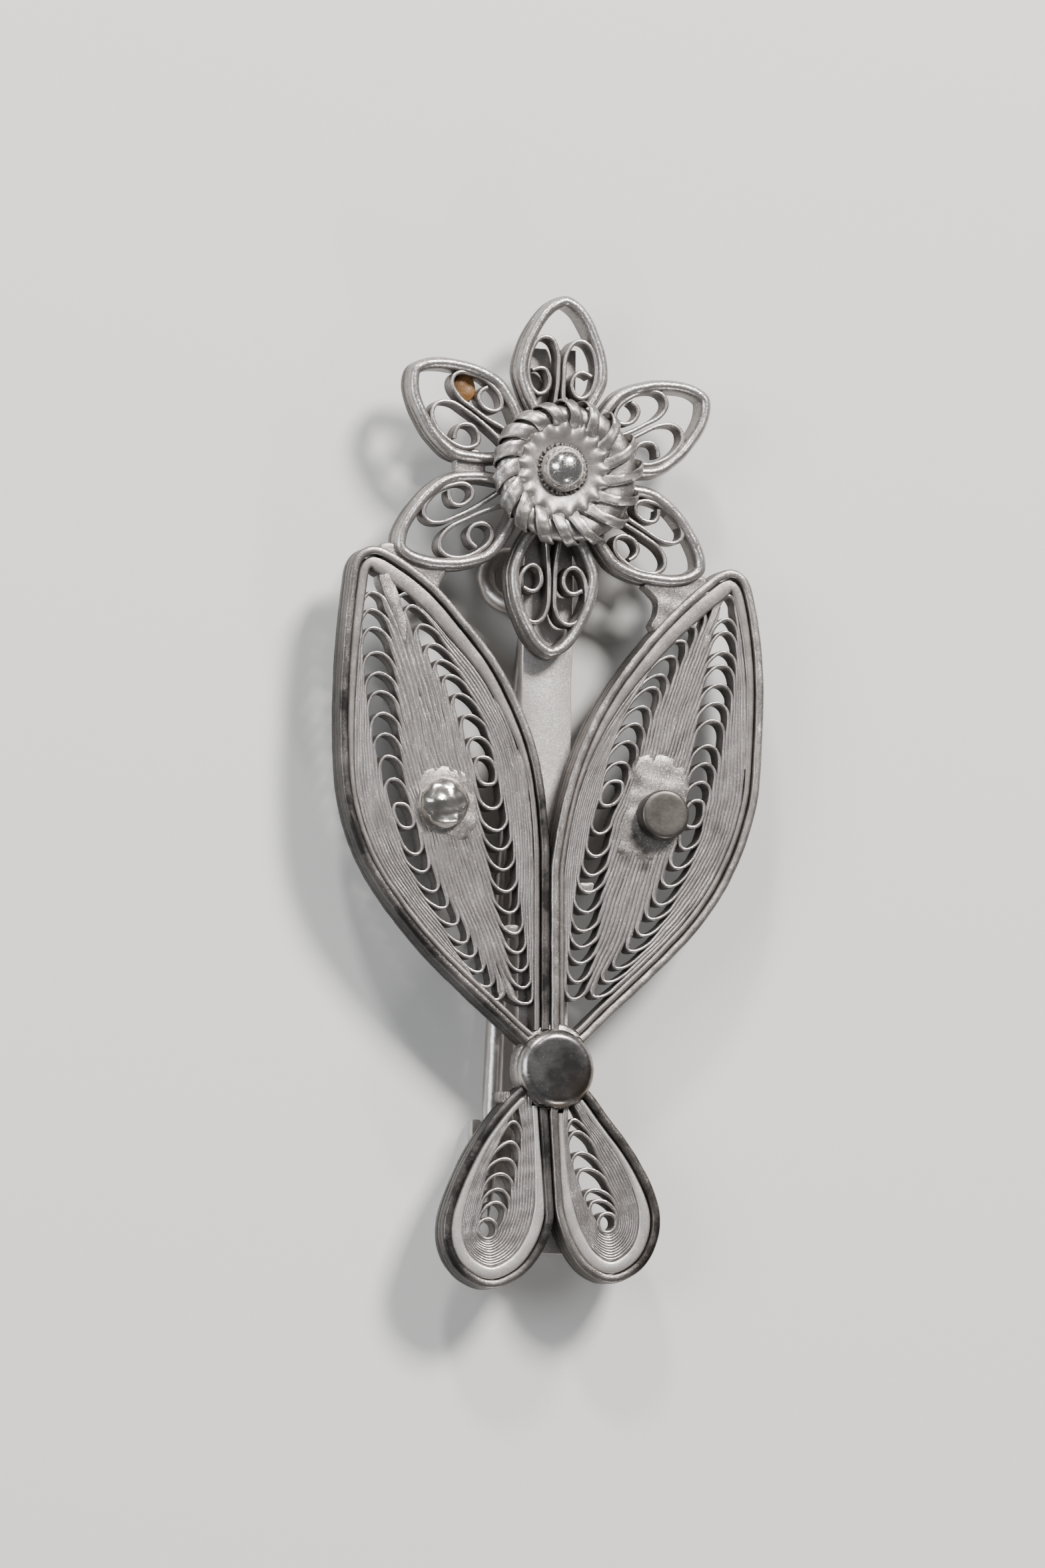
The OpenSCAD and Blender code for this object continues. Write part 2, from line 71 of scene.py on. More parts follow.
# Leaves and lobes: height, left edge, right edge
LEAF_LEFT = np.array([
    (11.5, -10.56, -7.9), (10.1, -10.78, -5.98), (8.4, -10.98, -4.53), (6.5, -11.14, -2.94),
    (3.8, -11.25, -1.53), (1.7, -11.2, -0.76), (-0.7, -10.98, -0.37), (-3.6, -9.98, -0.17),
    (-5.8, -8.52, -0.17), (-8.05, -6.66, -0.17), (-10.3, -4.3, -0.17), (-12.4, -1.95, -0.17),
    (-13.3, -1.15, -0.17)])
LEAF_RIGHT = np.array([
    (10.6, 8.3, 10.42), (8.7, 6.05, 10.92), (6.2, 3.83, 11.22), (3.95, 2.27, 11.22), (1.55, 1.15, 11.1),
    (-0.9, 0.4, 10.88), (-4.05, -0.17, 9.75), (-6.85, -0.17, 7.95), (-9.55, -0.17, 5.2),
    (-11.9, -0.17, 2.5), (-13.3, -0.17, 1.1)])
LEAF_LEFT_TIP, LEAF_RIGHT_TIP = (-9.47, 12.22), (9.43, 11.2)
LOBE_LEFT = np.array([
    (-14.7, -1.6, -0.3), (-16.5, -3.35, -0.1), (-18.4, -4.6, 0), (-20.4, -5.5, 0.1),
    (-21.9, -5.85, -0.05), (-23.3, -5.55, -0.7), (-24.3, -4.75, -1.6)])
LOBE_RIGHT = np.array([
    (-14.7, 0.3, 1.5), (-16.5, -0.3, 2.95), (-18.4, -0.2, 4.4), (-20.4, 0, 5.42), (-21.9, 0.28, 5.68),
    (-23.3, 0.95, 5.25), (-24.2, 1.7, 4.5)])
LOBE_LEFT_FOOT, LOBE_RIGHT_FOOT = (-3.25, -24.95), (3.05, -24.8)
# Outlines of the solder in the corner between a leaf and the petal next to it
WEB_LEFT = [(-8.9, 11.4), (-6.7, 9.6), (-6.15, 9.75), (-5.85, 10.3), (-5.75, 11.2), (-8.6, 12.4)]
WEB_RIGHT = [
    (5.3, 8.25), (6.1, 7.9), (8.1, 10.1), (7.9, 10.8), (5.1, 10.45), (5.3, 9.95), (5.62, 9.5), (5.6, 8.9)]
# Solder between the two left petals
BRIDGE = [(-4.95, 15.4), (-3.6, 15.5), (-3.7, 16.85), (-4.9, 16.9)]
# Solder between the two columns of loops at each leaf's tip
TONGUE_LEFT = [
    (-9.12, 10.55), (-9.02, 11.05), (-8.75, 11.1), (-8.5, 10.7), (-8.15, 9.9), (-7.9, 9.1), (-7.65, 8.1),
    (-7.75, 7.2), (-8.1, 8), (-8.45, 8.9), (-8.85, 9.75)]
TONGUE_RIGHT = [
    (8.85, 9.75), (9, 9.3), (8.8, 8.5), (8.45, 7.6), (8.1, 7), (8.15, 7.9), (8.45, 8.7), (8.65, 9.3)]
# Solder over the filigree round each stud
UNDER_DOME = [
    (-6.75, 0.75), (-5.9, 1.05), (-4.8, 0.85), (-4.15, 0.2), (-3.95, -0.9), (-3.95, -2), (-4.6, -2.75),
    (-5.5, -2.6), (-6.35, -2.35), (-6.95, -1.75), (-7.2, -0.85), (-7.1, 0.05)]
UNDER_DISC = [
    (4.35, 1.6), (5.2, 2.1), (6.3, 1.95), (7.15, 1.3), (7.3, 0.4), (7.15, -0.5), (6.95, -1.4),
    (6.6, -2.4), (6.15, -3.2), (5.4, -3.55), (4.3, -3.4), (3.35, -3.05), (3.45, -2.1), (3.75, -0.9),
    (4.05, 0.2)]
# Solder that fills one loop of each leaf
LOOP_LEFT = [(-2.45, -6.9), (-2, -6.8), (-1.55, -6.9), (-1.65, -7.25), (-2, -7.45), (-2.35, -7.25)]
LOOP_RIGHT = [(1.4, -4.65), (1.85, -4.6), (2.3, -4.6), (2.2, -5), (1.85, -5.2), (1.5, -5)]
# Brown residue in a scroll of the upper left petal
IN_SCROLL = [(-5.1, 20.3), (-4.6, 20.85), (-4, 20.5), (-3.95, 19.75), (-4.4, 19.3), (-4.95, 19.7)]
# Soldered joints: x and y of a point, slope of x against y
LEAF_JOINT = (-0.17, -8, 0)
LOBE_JOINT = (-0.12, -18.4, -0.06)

# Columns of hairpin loops in a leaf. Crowns: heights of the loops' tops from the ring up; feet: heights
# of their lower ends from the ring down; ring: top and bottom of the innermost loop;
# gap: height, middle of the open gap, its half-width
COLUMNS = {
    "left_outer": dict(
        crowns=(0.6, 1.75, 2.85, 3.88, 4.97, 5.9, 6.93, 8.15, 9.08, 9.95), ring=(-0.62, -2),
        feet=(-3.3, -4.2, -5.17, -6, -6.85, -7.75, -8.45, -9.2, -9.95, -10.6),
        gap=((10.2, -9.45, 0.25), (9.2, -9.5, 0.45), (8.4, -9.43, 0.6), (6.3, -9.2, 0.7),
             (4.3, -8.95, 0.66), (2.3, -8.72, 0.6), (0, -8.25, 0.46), (-1.2, -7.85, 0.43),
             (-3.6, -7.1, 0.46), (-5.5, -6.1, 0.44), (-7, -5.1, 0.46), (-8, -4.6, 0.43),
             (-9.3, -3.85, 0.4), (-10.8, -2.95, 0.3))),
    "left_inner": dict(
        crowns=(2.7, 3.8, 4.85, 5.8, 6.53, 7.35, 8.33, 9.27, 9.9), ring=(1.7, 0.15),
        feet=(-1.05, -2.15, -3.1, -4.1, -5.2, -6.25, -7.3, -8.25, -9.15, -10, -10.8),
        gap=((10.1, -7.8, 0.2), (9.6, -7.6, 0.3), (8.8, -7.2, 0.43), (7.8, -6.55, 0.52), (6.8, -6.05, 0.5),
             (5.1, -5.05, 0.48), (3.2, -4.15, 0.57), (1, -3.5, 0.48), (-0.3, -3.28, 0.52),
             (-1.5, -3.05, 0.6), (-3.5, -2.65, 0.6), (-5.5, -2.4, 0.55), (-7.5, -1.95, 0.46),
             (-9.2, -1.65, 0.4), (-11, -1.3, 0.3))),
    "right_inner": dict(
        crowns=(1.45, 2.48, 3.38, 4.25, 5.2, 5.87, 6.8, 7.6, 8.35, 9.1, 10.05), ring=(0.5, -0.9),
        feet=(-2.3, -3.45, -4.4, -5.25, -6.25, -7.2, -8, -8.8, -9.75, -10.6),
        gap=((10.1, 8.6, 0.2), (9.6, 8.3, 0.4), (8.7, 7.65, 0.55), (7.1, 6.53, 0.63), (5.5, 5.55, 0.67),
             (3.8, 4.6, 0.66), (1.8, 3.78, 0.68), (-0.2, 3.15, 0.5), (-1.4, 2.68, 0.45), (-3.7, 2.23, 0.56),
             (-5.4, 1.85, 0.6), (-7.4, 1.62, 0.62), (-9.1, 1.4, 0.5), (-11, 1.05, 0.35))),
    "right_outer": dict(
        crowns=(0.45, 1.38, 2.3, 3.55, 4.45, 5.37, 6.35, 7.03, 8.05, 8.7, 9.88), ring=(-0.5, -2),
        feet=(-3.1, -4.07, -4.97, -5.9, -6.62, -7.45, -8.22, -9.08, -9.75, -10.5),
        gap=((10.1, 9.45, 0.2), (9.4, 9.38, 0.38), (8.4, 9.28, 0.5), (6.7, 9.12, 0.65), (4.8, 8.83, 0.73),
             (2.9, 8.43, 0.7), (0.9, 8.05, 0.6), (-1.2, 7.55, 0.46), (-2.6, 7.3, 0.45), (-4.4, 6.48, 0.5),
             (-6.1, 5.63, 0.46), (-7.7, 4.63, 0.46), (-9.3, 3.25, 0.42), (-10.8, 2.1, 0.3))),
}
# Lobes: eye and its radius, heights of the crowns above it, and the gap as in the leaves
LOBE_LOOPS = {
    "left": dict(
        eye=(-3.42, -21.9), eye_r=0.5, crowns=(-20.5, -19.85, -19.1, -18.35, -17.5, -16.5),
        gap=((-21.9, -3.42, 0.5), (-21, -3.05, 0.6), (-20.1, -2.92, 0.64), (-18.8, -2.65, 0.72),
             (-18, -2.35, 0.6), (-17.1, -2.12, 0.47), (-16, -2, 0.15))),
    "right": dict(
        eye=(2.87, -21.7), eye_r=0.48, crowns=(-20.5, -19.95, -18.9, -18.1, -17.05, -16.45),
        gap=((-21.7, 2.87, 0.48), (-20.5, 2.4, 0.7), (-19.5, 2, 0.7), (-18.6, 1.65, 0.66),
             (-17.6, 1.4, 0.6), (-16.8, 1.2, 0.4), (-15.9, 1, 0.15))),
}


def full_turn(n):
    """Equal angles round a circle, n of them."""
    return np.linspace(0, 2 * np.pi, n, endpoint=False)


def smooth(points, steps, closed):
    """Curve through the points: each stretch is the cubic set by its two ends and their two neighbours."""
    p = np.asarray(points, float)
    q = np.vstack([p[-1:], p, p[:2]]) if closed else np.vstack([p[:1], p, p[-1:]])
    a, b, c, d = q[:-3], q[1:-2], q[2:-1], q[3:]
    t = np.arange(steps)[:, None, None] / steps
    curve = 0.5 * (2 * b + (c - a) * t + (2 * a - 5 * b + 4 * c - d) * t ** 2
                   + (3 * b - a - 3 * c + d) * t ** 3)
    curve = curve.transpose(1, 0, 2).reshape(-1, p.shape[1])
    return curve if closed else np.vstack([curve, p[-1:]])


def even(path, step, closed):
    """The same path with points at equal distances along it in the plan."""
    p = np.vstack([path, path[:1]]) if closed else path
    s = np.concatenate([[0], np.cumsum(np.linalg.norm(np.diff(p[:, :2], axis=0), axis=1))])
    n = max(int(round(s[-1] / step)), 8)
    at = np.linspace(0, s[-1], n, endpoint=False) if closed else np.linspace(0, s[-1], n + 1)
    return np.stack([np.interp(at, s, p[:, k]) for k in range(p.shape[1])], 1)


def eased(path, reach):
    """A closed path with its kinks taken out: each point is the mean of its neighbours, weighed by a
    bell curve of the given reach in mm."""
    line = even(path, 0.1, True)
    n = int(30 * reach)
    weight = np.exp(-0.5 * (np.arange(-n, n + 1) * 0.1 / reach) ** 2)
    wrapped = np.vstack([line[-n:], line, line[:n]])
    return np.stack([np.convolve(column, weight / weight.sum(), "valid") for column in wrapped.T], 1)


def softened(path, tip):
    """An outline eased more along its sides than within 2 mm of its tip."""
    near, far = eased(path, 0.3), eased(path, 0.9)
    return near + (far - near) * np.clip(np.linalg.norm(near - tip, axis=1) / 2 - 0.7, 0, 1)[:, None]


def unit(v):
    """Each row made one long."""
    return v / np.linalg.norm(v, axis=1, keepdims=True)


def left_of(path, closed):
    """Unit normals to the left of the way along a path in the plan."""
    t = np.roll(path, -1, 0) - np.roll(path, 1, 0) if closed else np.gradient(path, axis=0)
    t = t / np.maximum(np.linalg.norm(t, axis=1, keepdims=True), 1e-9)
    return np.stack([-t[:, 1], t[:, 0]], 1)


def inset(path, d):
    """A counter-clockwise outline moved inwards by d."""
    return path + d * left_of(path, True)


def ripple(v, size, amount, seed):
    """Smooth hand-made unevenness: a sum of six sine waves in random directions, size mm long."""
    rng = np.random.default_rng(seed)
    k = rng.normal(size=(3, 6))
    k /= np.linalg.norm(k, axis=0)
    k *= 2 * np.pi / (size * rng.uniform(0.6, 1.6, 6))
    return amount * np.sin(v @ k + rng.uniform(0, 6.28, 6)).sum(1) / 2.4


def turned_right(v, f):
    """The same faces, turned over if the shell they close has its volume inside out."""
    a, b, c, d = (v[f[:, i]] for i in range(4))
    volume = np.einsum("ij,ij->i", a, np.cross(b, c)).sum() + np.einsum("ij,ij->i", a, np.cross(c, d)).sum()
    return f if volume > 0 else f[:, ::-1]


def grid_shell(points, closed_u, closed_v, value=None):
    """A shell over a grid of points, u by v: quads between neighbours, ends closed by fans of quads
    round their middles where u is open. Gives vertices, faces and one number for each vertex."""
    n, m = points.shape[:2]
    v = points.reshape(-1, 3)
    w = np.zeros(n * m) if value is None else np.broadcast_to(value, (n, m)).reshape(-1).astype(float)
    i = np.arange(n if closed_u else n - 1)[:, None]
    j = np.arange(m if closed_v else m - 1)[None, :]
    i2, j2 = (i + 1) % n, (j + 1) % m
    f = np.stack([i * m + j, i2 * m + j, i2 * m + j2, i * m + j2], -1).reshape(-1, 4)
    if not closed_u:
        ends = np.stack([points[0].mean(0), points[-1].mean(0)])
        v = np.vstack([v, ends])
        w = np.concatenate([w, [w[:m].mean(), w[-m:].mean()]])
        k = np.arange(0, m, 2)
        k1, k2 = (k + 1) % m, (k + 2) % m
        if m % 2:
            k2[-1] = 0
            k1[-1] = k[-1]
        start = np.stack([np.full_like(k, n * m), k, k1, k2], -1)
        end = np.stack([np.full_like(k, n * m + 1), k2, k1, k], -1) + np.array([0, 1, 1, 1]) * (n - 1) * m
        f = np.vstack([f, start, end])
    return v, turned_right(v, f), w


# Sections of a strip set on edge: across as a share of the half-width, up as a share of the height,
# then both in mm, then how burnished it is there, which also paints shade on the walls. First a filigree
# ribbon, then a leaf's or lobe's frame
RIBBON = np.array([
    (-1, 0, 0, 0, 0), (-1, 1, 0, -0.03, 0.6), (-1, 1, 0.022, -0.004, 0.95), (0, 1, 0, 0, 1),
    (1, 1, -0.022, -0.004, 0.95), (1, 1, 0, -0.03, 0.6), (1, 0, 0, 0, 0)])
FRAME = np.array([
    (-1, 0, 0.04, 0, 0), (-1, 0, 0, 0.05, 0), (-1, 0, 0, 0.42, 0), (-1, 0, 0.03, 0.47, 0),
    (-1, 0, 0.03, 0.52, 0), (-1, 0, 0, 0.57, 0.1), (-1, 0, 0, 0.88, 0.1), (-1, 0, 0.02, 0.93, 0.1),
    (-1, 0, 0, 1, 0.1), (-1, 1, 0, -0.16, 0.2), (-1, 1, 0.025, -0.06, 0.7), (-1, 1, 0.08, -0.012, 1),
    (0, 1, 0, 0, 0.9), (1, 1, -0.06, -0.01, 1), (1, 1, -0.02, -0.03, 0.8), (1, 1, 0, -0.08, 0.4),
    (1, 0, 0, 0.05, 0), (1, 0, -0.04, 0, 0)])
# The strip inside the frame, its top nearly flat
LINER = np.array([
    (-1, 0, 0, 0, 0), (-1, 1, 0, -0.07, 0.4), (-1, 1, 0.04, -0.02, 0.8), (-1, 1, 0.12, 0, 1),
    (1, 1, -0.12, 0, 1), (1, 1, -0.03, -0.015, 0.9), (1, 1, 0, -0.05, 0.6), (1, 0, 0, 0, 0)])
# The petals' frame strip, with two grooves along its outer wall
PETAL_WIRE = np.array([
    (-1, 0, 0.1, 0, 0), (-1, 0, 0, 0.1, 0), (-1, 0, 0.02, 0.38, 0), (-1, 0, 0.1, 0.44, 0),
    (-1, 0, 0.08, 0.52, 0), (-1, 0, 0, 0.58, 0.2), (-1, 0, 0.01, 0.8, 0.2), (-1, 0, 0.1, 0.86, 0),
    (-1, 0, 0.09, 0.93, 0), (-1, 0, 0.01, 1, 0.2), (-1, 1, 0.02, -0.27, 0.4), (-1, 1, 0.07, -0.13, 0.8),
    (-1, 1, 0.16, -0.04, 1), (0, 1, 0, 0, 1), (1, 1, -0.16, -0.04, 1), (1, 1, -0.07, -0.13, 0.8),
    (1, 1, -0.01, -0.27, 0.3), (1, 0, 0, 0.08, 0), (1, 0, -0.08, 0, 0)])
# The strip behind and the catch, a plain bar with softened edges
EDGED = np.array([
    (-1, 0, 0.07, 0, 0.2), (-1, 0, 0, 0.07, 0.6), (-1, 1, 0, -0.07, 0.6), (-1, 1, 0.02, -0.02, 1),
    (-1, 1, 0.07, 0, 0.6), (1, 1, -0.07, 0, 0.6), (1, 1, -0.02, -0.02, 1), (1, 1, 0, -0.07, 0.6),
    (1, 0, 0, 0.07, 0.6), (1, 0, -0.07, 0, 0.2)])


def carried(path, section, half, low, high, closed, burnish_and_shade=1):
    """A section carried along a path in the plan: every point of the path gives the section's points,
    left or right of it along the normal, and between the heights low and high."""
    side = left_of(path, closed)
    half, low, high = (np.broadcast_to(x, len(path))[:, None] for x in (half, low, high))
    across = section[:, 0] * half + section[:, 2]
    up = low + section[:, 1] * (high - low) + section[:, 3]
    points = np.concatenate([path[:, None, :] + side[:, None, :] * across[:, :, None], up[:, :, None]], 2)
    return grid_shell(points, closed, True, section[:, 4] * np.broadcast_to(burnish_and_shade, len(path))[:, None])


def turned(centre, profile, around, wobble=0, seed=1):
    """A profile of radius, height and shine turned round the upright axis through centre, from a point
    on the axis below to a point on the axis above, its radius uneven by wobble."""
    u = full_turn(around)[:, None]
    r = np.repeat(profile[None, :, 0], around, 0)
    if wobble:
        rng = np.random.default_rng(seed)
        r = r * (1 + wobble * sum(np.cos(k * u + rng.uniform(0, 6.28)) / k for k in (2, 3, 5, 7)))
    points = np.stack([centre[0] + r * np.cos(u), centre[1] + r * np.sin(u),
                       np.broadcast_to(profile[None, :, 1], r.shape)], 2)
    return grid_shell(points, True, True, profile[None, :, 2])


def ball(centre, radius, around, up):
    """A sphere from its two angles, drawn in to a point at both poles."""
    a = np.linspace(-np.pi / 2, np.pi / 2, up)
    profile = np.stack([radius * np.cos(a), centre[2] + radius * np.sin(a), np.zeros(up)], 1)
    return turned(centre[:2], profile, around)


def raised(shell):
    """A leaf's or lobe's shell, each point moved up the plan by SLANT for every mm to the right."""
    v, f, w = shell
    return v + np.stack([0 * v[:, 0], SLANT * v[:, 0], 0 * v[:, 0]], 1), f, w


def joined(parts):
    """Several shells as one."""
    shift = np.cumsum([0] + [len(p[0]) for p in parts[:-1]])
    return (np.vstack([p[0] for p in parts]), np.vstack([p[1] + s for p, s in zip(parts, shift)]),
            np.concatenate([p[2] for p in parts]))


def put(name, shell, material, replaces=(), uneven=(0, 1), spots=(), seed=3):
    """Makes the mesh of a shell, in metres, uneven by an amount over a size in mm, with its burnish and
    darkening stored at each vertex. Points that share a place become one, so poles and seams are closed.
    The darkening, real tarnish and on the frames painted shade, is the strongest of the spots there, given
    as x, y, radius and strength."""
    v, f, burnish_and_shade = shell
    if uneven[0]:
        v = v + np.stack([ripple(v, uneven[1], uneven[0], seed + k) for k in range(3)], 1)
        v[:, 2] = np.maximum(v[:, 2], 0)
    _, first, same = np.unique(np.round(v, 4), axis=0, return_index=True, return_inverse=True)
    v, burnish_and_shade, f = v[first], burnish_and_shade[first], same.ravel()[f]
    keep = f != np.roll(f, -1, 1)
    f, keep = f[keep.sum(1) > 2], keep[keep.sum(1) > 2]
    size = keep.sum(1)
    mesh = bpy.data.meshes.new(name)
    mesh.vertices.add(len(v))
    mesh.vertices.foreach_set("co", (v * 0.001).astype(np.float32).ravel())
    mesh.loops.add(int(size.sum()))
    mesh.loops.foreach_set("vertex_index", f[keep].astype(np.int32))
    mesh.polygons.add(len(f))
    mesh.polygons.foreach_set("loop_start", np.concatenate([[0], np.cumsum(size)[:-1]]).astype(np.int32))
    mesh.polygons.foreach_set("loop_total", size.astype(np.int32))
    mesh.polygons.foreach_set("use_smooth", np.ones(len(f), bool))
    mesh.update(calc_edges=True)
    mesh.validate()
    mesh.set_sharp_from_angle(angle=0.9)
    tarnish_and_shade = np.zeros(len(v))
    for x, y, r, strength in spots:
        tarnish_and_shade = np.maximum(tarnish_and_shade, strength * np.exp(-((v[:, 0] - x) ** 2 + (v[:, 1] - y) ** 2) / r ** 2))
    for label, numbers in (("burnish_and_shade", burnish_and_shade), ("tarnish_and_shade", np.clip(tarnish_and_shade, 0, 1))):
        mesh.attributes.new(label, "FLOAT", "POINT").data.foreach_set("value", numbers.astype(np.float32))
    mesh.materials.append(material)
    piece = bpy.data.objects.new(name, mesh)
    bpy.context.scene.collection.objects.link(piece)
    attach(piece, "root")
    if replaces:
        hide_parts(*replaces)


def silver(name, frosted, burnished, rough, metal=0.92, crystal=0.05, sparkle=0.05, depth_shade=1, mottle=0.8,
           stain_and_shade=(0.06, 0.052, 0.045), scratch=0, glint=1):
    """Silver whose colour and roughness go from frosted to burnished with the burnish value stored on the
    mesh; walls and undersides, low in it, take the frosted colour, mostly darker, as painted shade.
    Crystals of the given size in mm tilt its surface at random by up to sparkle, cloudy toning darkens
    it to mottle, and painted shade darkens it to depth_shade from the face down to the strip. One crystal
    in twelve is painted brighter by glint, a painted glint. Tarnish, and on the frames painted shade, lies
    where the mesh says so, and fine scratches of the given depth in micrometres run across it."""
    material = bpy.data.materials.new(name)
    material.use_nodes = True
    tree = material.node_tree
    shader = tree.nodes["Principled BSDF"]
    shader.inputs["Metallic"].default_value = metal

    def add(kind, inputs, **settings):
        """A shader node with its settings; an input is given a value or linked to another's output."""
        made = tree.nodes.new("ShaderNode" + kind)
        for key, value in settings.items():
            setattr(made, key, value)
        for key, value in inputs.items():
            if isinstance(value, bpy.types.NodeSocket):
                tree.links.new(value, made.inputs[key])
            else:
                made.inputs[key].default_value = value
        return made

    def ranged(source, low, high, to_low, to_high):
        return add("MapRange", {"Value": source, "From Min": low, "From Max": high, "To Min": to_low,
                                "To Max": to_high}).outputs["Result"]

    def mixed(share, one, two, blend="MIX"):
        return add("Mix", {0: share, 6: one, 7: two}, data_type="RGBA", blend_type=blend).outputs[2]

    def noise(at, scale, detail, roughness):
        return add("TexNoise", {"Vector": at, "Scale": scale, "Detail": detail,
                                "Roughness": roughness}).outputs["Fac"]

    place = add("TexCoord", {}).outputs["Object"]
    clouds, fine = noise(place, 600, 5, 0.65), noise(place, 9000, 2, 0.6)
    cells = add("TexVoronoi", {"Vector": place, "Scale": 1000 / crystal})
    burnish_and_shade = add("Attribute", {}, attribute_name="burnish_and_shade").outputs["Fac"]
    tarnish_and_shade = add("Attribute", {}, attribute_name="tarnish_and_shade").outputs["Fac"]

    tone = add("ValToRGB", {"Fac": clouds})
    for stop, position, grey in zip(tone.color_ramp.elements, (0.36, 0.6), (mottle, 1)):
        stop.position, stop.color = position, (grey, grey, grey, 1)
    # Painted shade: the colour grows darker from the face down to the strip, the lowest parts darkest
    painted_depth_shade = ranged(add("SeparateXYZ", {0: place}).outputs["Z"], 0.0027, 0.0041, depth_shade, 1)
    # Painted glints: about one crystal in twelve is made brighter in colour
    painted_glint = ranged(add("SeparateColor", {0: cells.outputs["Color"]}).outputs[0], 0.9, 0.96, 1, glint)
    # Walls and undersides, low in burnish, take the frosted colour: painted shade as well as a matt finish
    colour = mixed(burnish_and_shade, (*frosted, 1), (*burnished, 1))
    for factor in (tone.outputs["Color"], painted_depth_shade, painted_glint):
        colour = mixed(1, colour, factor, "MULTIPLY")
    # Spots darken the colour towards the stain colour: real tarnish, and on the frames painted shade
    patch = add("Math", {0: tarnish_and_shade, 1: ranged(clouds, 0.38, 0.58, 0.6, 1.2)}, operation="MULTIPLY",
                use_clamp=True)
    tree.links.new(mixed(patch.outputs[0], colour, (*stain_and_shade, 1)), shader.inputs["Base Color"])

    matt = ranged(fine, 0.3, 0.7, rough[0] - 0.1, rough[0] + 0.1)
    gloss = add("Mix", {0: burnish_and_shade, 2: matt, 3: rough[1]}, data_type="FLOAT")
    tree.links.new(gloss.outputs[0], shader.inputs["Roughness"])

    from_middle = add("VectorMath", {0: place, 1: cells.outputs["Position"]}, operation="SUBTRACT")
    tilt = add("VectorMath", {0: cells.outputs["Color"], 1: (0.5, 0.5, 0.5)}, operation="SUBTRACT")
    facet = add("VectorMath", {0: from_middle.outputs[0], 1: tilt.outputs[0]}, operation="DOT_PRODUCT")
    rough_height = add("Math", {0: facet.outputs["Value"], 1: 2 * sparkle}, operation="MULTIPLY")
    drawn = add("Mapping", {"Vector": place, "Rotation": (0, 0, -0.6), "Scale": (0.003, 0.0001, 0.003)},
                vector_type="TEXTURE")
    lines = noise(drawn.outputs[0], 1, 3, 0.7)
    height = add("Math", {0: lines, 1: scratch * 1e-6, 2: rough_height.outputs[0]}, operation="MULTIPLY_ADD")
    relief = add("Bump", {"Height": height.outputs[0], "Strength": 1, "Distance": 1})
    tree.links.new(relief.outputs["Normal"], shader.inputs["Normal"])
    return material


# Frosted colour, burnished colour, roughness of each; the darker frosted colours paint shade on walls
FROSTED = silver(
    "frosted_silver", (0.55, 0.52, 0.5), (0.6, 0.568, 0.548), (0.46, 0.38), metal=0.85, mottle=0.88,
    glint=1.35)
FILIGREE = silver(
    "filigree_silver", (0.17, 0.154, 0.145), (0.42, 0.39, 0.377), (0.46, 0.33), sparkle=0.06, depth_shade=0.35,
    glint=1.7)
LINER_SILVER = silver(
    "liner_silver", (0.17, 0.154, 0.145), (0.32, 0.295, 0.28), (0.48, 0.38), sparkle=0.04, depth_shade=0.35,
    mottle=0.75, glint=1.5)
PETAL_SILVER = silver(
    "petal_silver", (0.24, 0.221, 0.208), (0.48, 0.45, 0.434), (0.44, 0.32), sparkle=0.1, depth_shade=0.5,
    glint=1.6)
FRAME_SILVER = silver(
    "frame_silver", (0.2, 0.182, 0.168), (0.4, 0.372, 0.352), (0.44, 0.36), metal=0.94, sparkle=0.08,
    depth_shade=0.6, mottle=0.65, stain_and_shade=(0.05, 0.044, 0.04), glint=1.5)
# A darker copy of the frame silver for the left leaf and lobe: painted shade on the side away from the
# window lamp
SHADED_FRAME = silver(
    "shaded_frame", (0.16, 0.148, 0.14), (0.37, 0.343, 0.327), (0.42, 0.36), metal=0.94, sparkle=0.07,
    depth_shade=0.6, mottle=0.6, stain_and_shade=(0.04, 0.037, 0.036), glint=1.6)
SOLDER = silver(
    "run_solder", (0.33, 0.308, 0.295), (0.36, 0.337, 0.323), (0.44, 0.36), metal=0.9, sparkle=0.07,
    depth_shade=0.6, mottle=0.85, glint=2.2)
RESIDUE = silver(
    "brown_residue", (0.17, 0.08, 0.026), (0.3, 0.15, 0.045), (0.5, 0.35), metal=0, sparkle=0.2,
    mottle=0.7)
COIL_SILVER = silver(
    "coil_silver", (0.14, 0.128, 0.12), (0.42, 0.394, 0.378), (0.46, 0.36), depth_shade=0.5, mottle=0.75,
    glint=1.6)
SATIN = silver(
    "satin_silver", (0.18, 0.169, 0.16), (0.36, 0.337, 0.325), (0.48, 0.42), metal=0.88, crystal=0.12,
    sparkle=0.03, mottle=0.85)
POLISHED = silver(
    "polished_silver", (0.8, 0.765, 0.725), (0.84, 0.805, 0.765), (0.2, 0.12), metal=1, crystal=0.5,
    sparkle=0.02, mottle=0.95)
DOME_SILVER = silver(
    "hammered_silver", (0.45, 0.415, 0.375), (0.82, 0.77, 0.71), (0.36, 0.22), metal=1, crystal=0.4,
    sparkle=0.06, mottle=0.6, scratch=5)
KNOP_SILVER = silver(
    "worn_silver", (0.42, 0.395, 0.375), (0.34, 0.325, 0.32), (0.36, 0.24), metal=1, crystal=0.2,
    sparkle=0.006, mottle=0.4, stain_and_shade=(0.13, 0.085, 0.05), scratch=2.5)
DISC_SILVER = silver(
    "rubbed_silver", (0.09, 0.082, 0.075), (0.15, 0.137, 0.125), (0.5, 0.38), crystal=0.2, sparkle=0.01,
    mottle=0.5, stain_and_shade=(0.06, 0.05, 0.04), scratch=2)
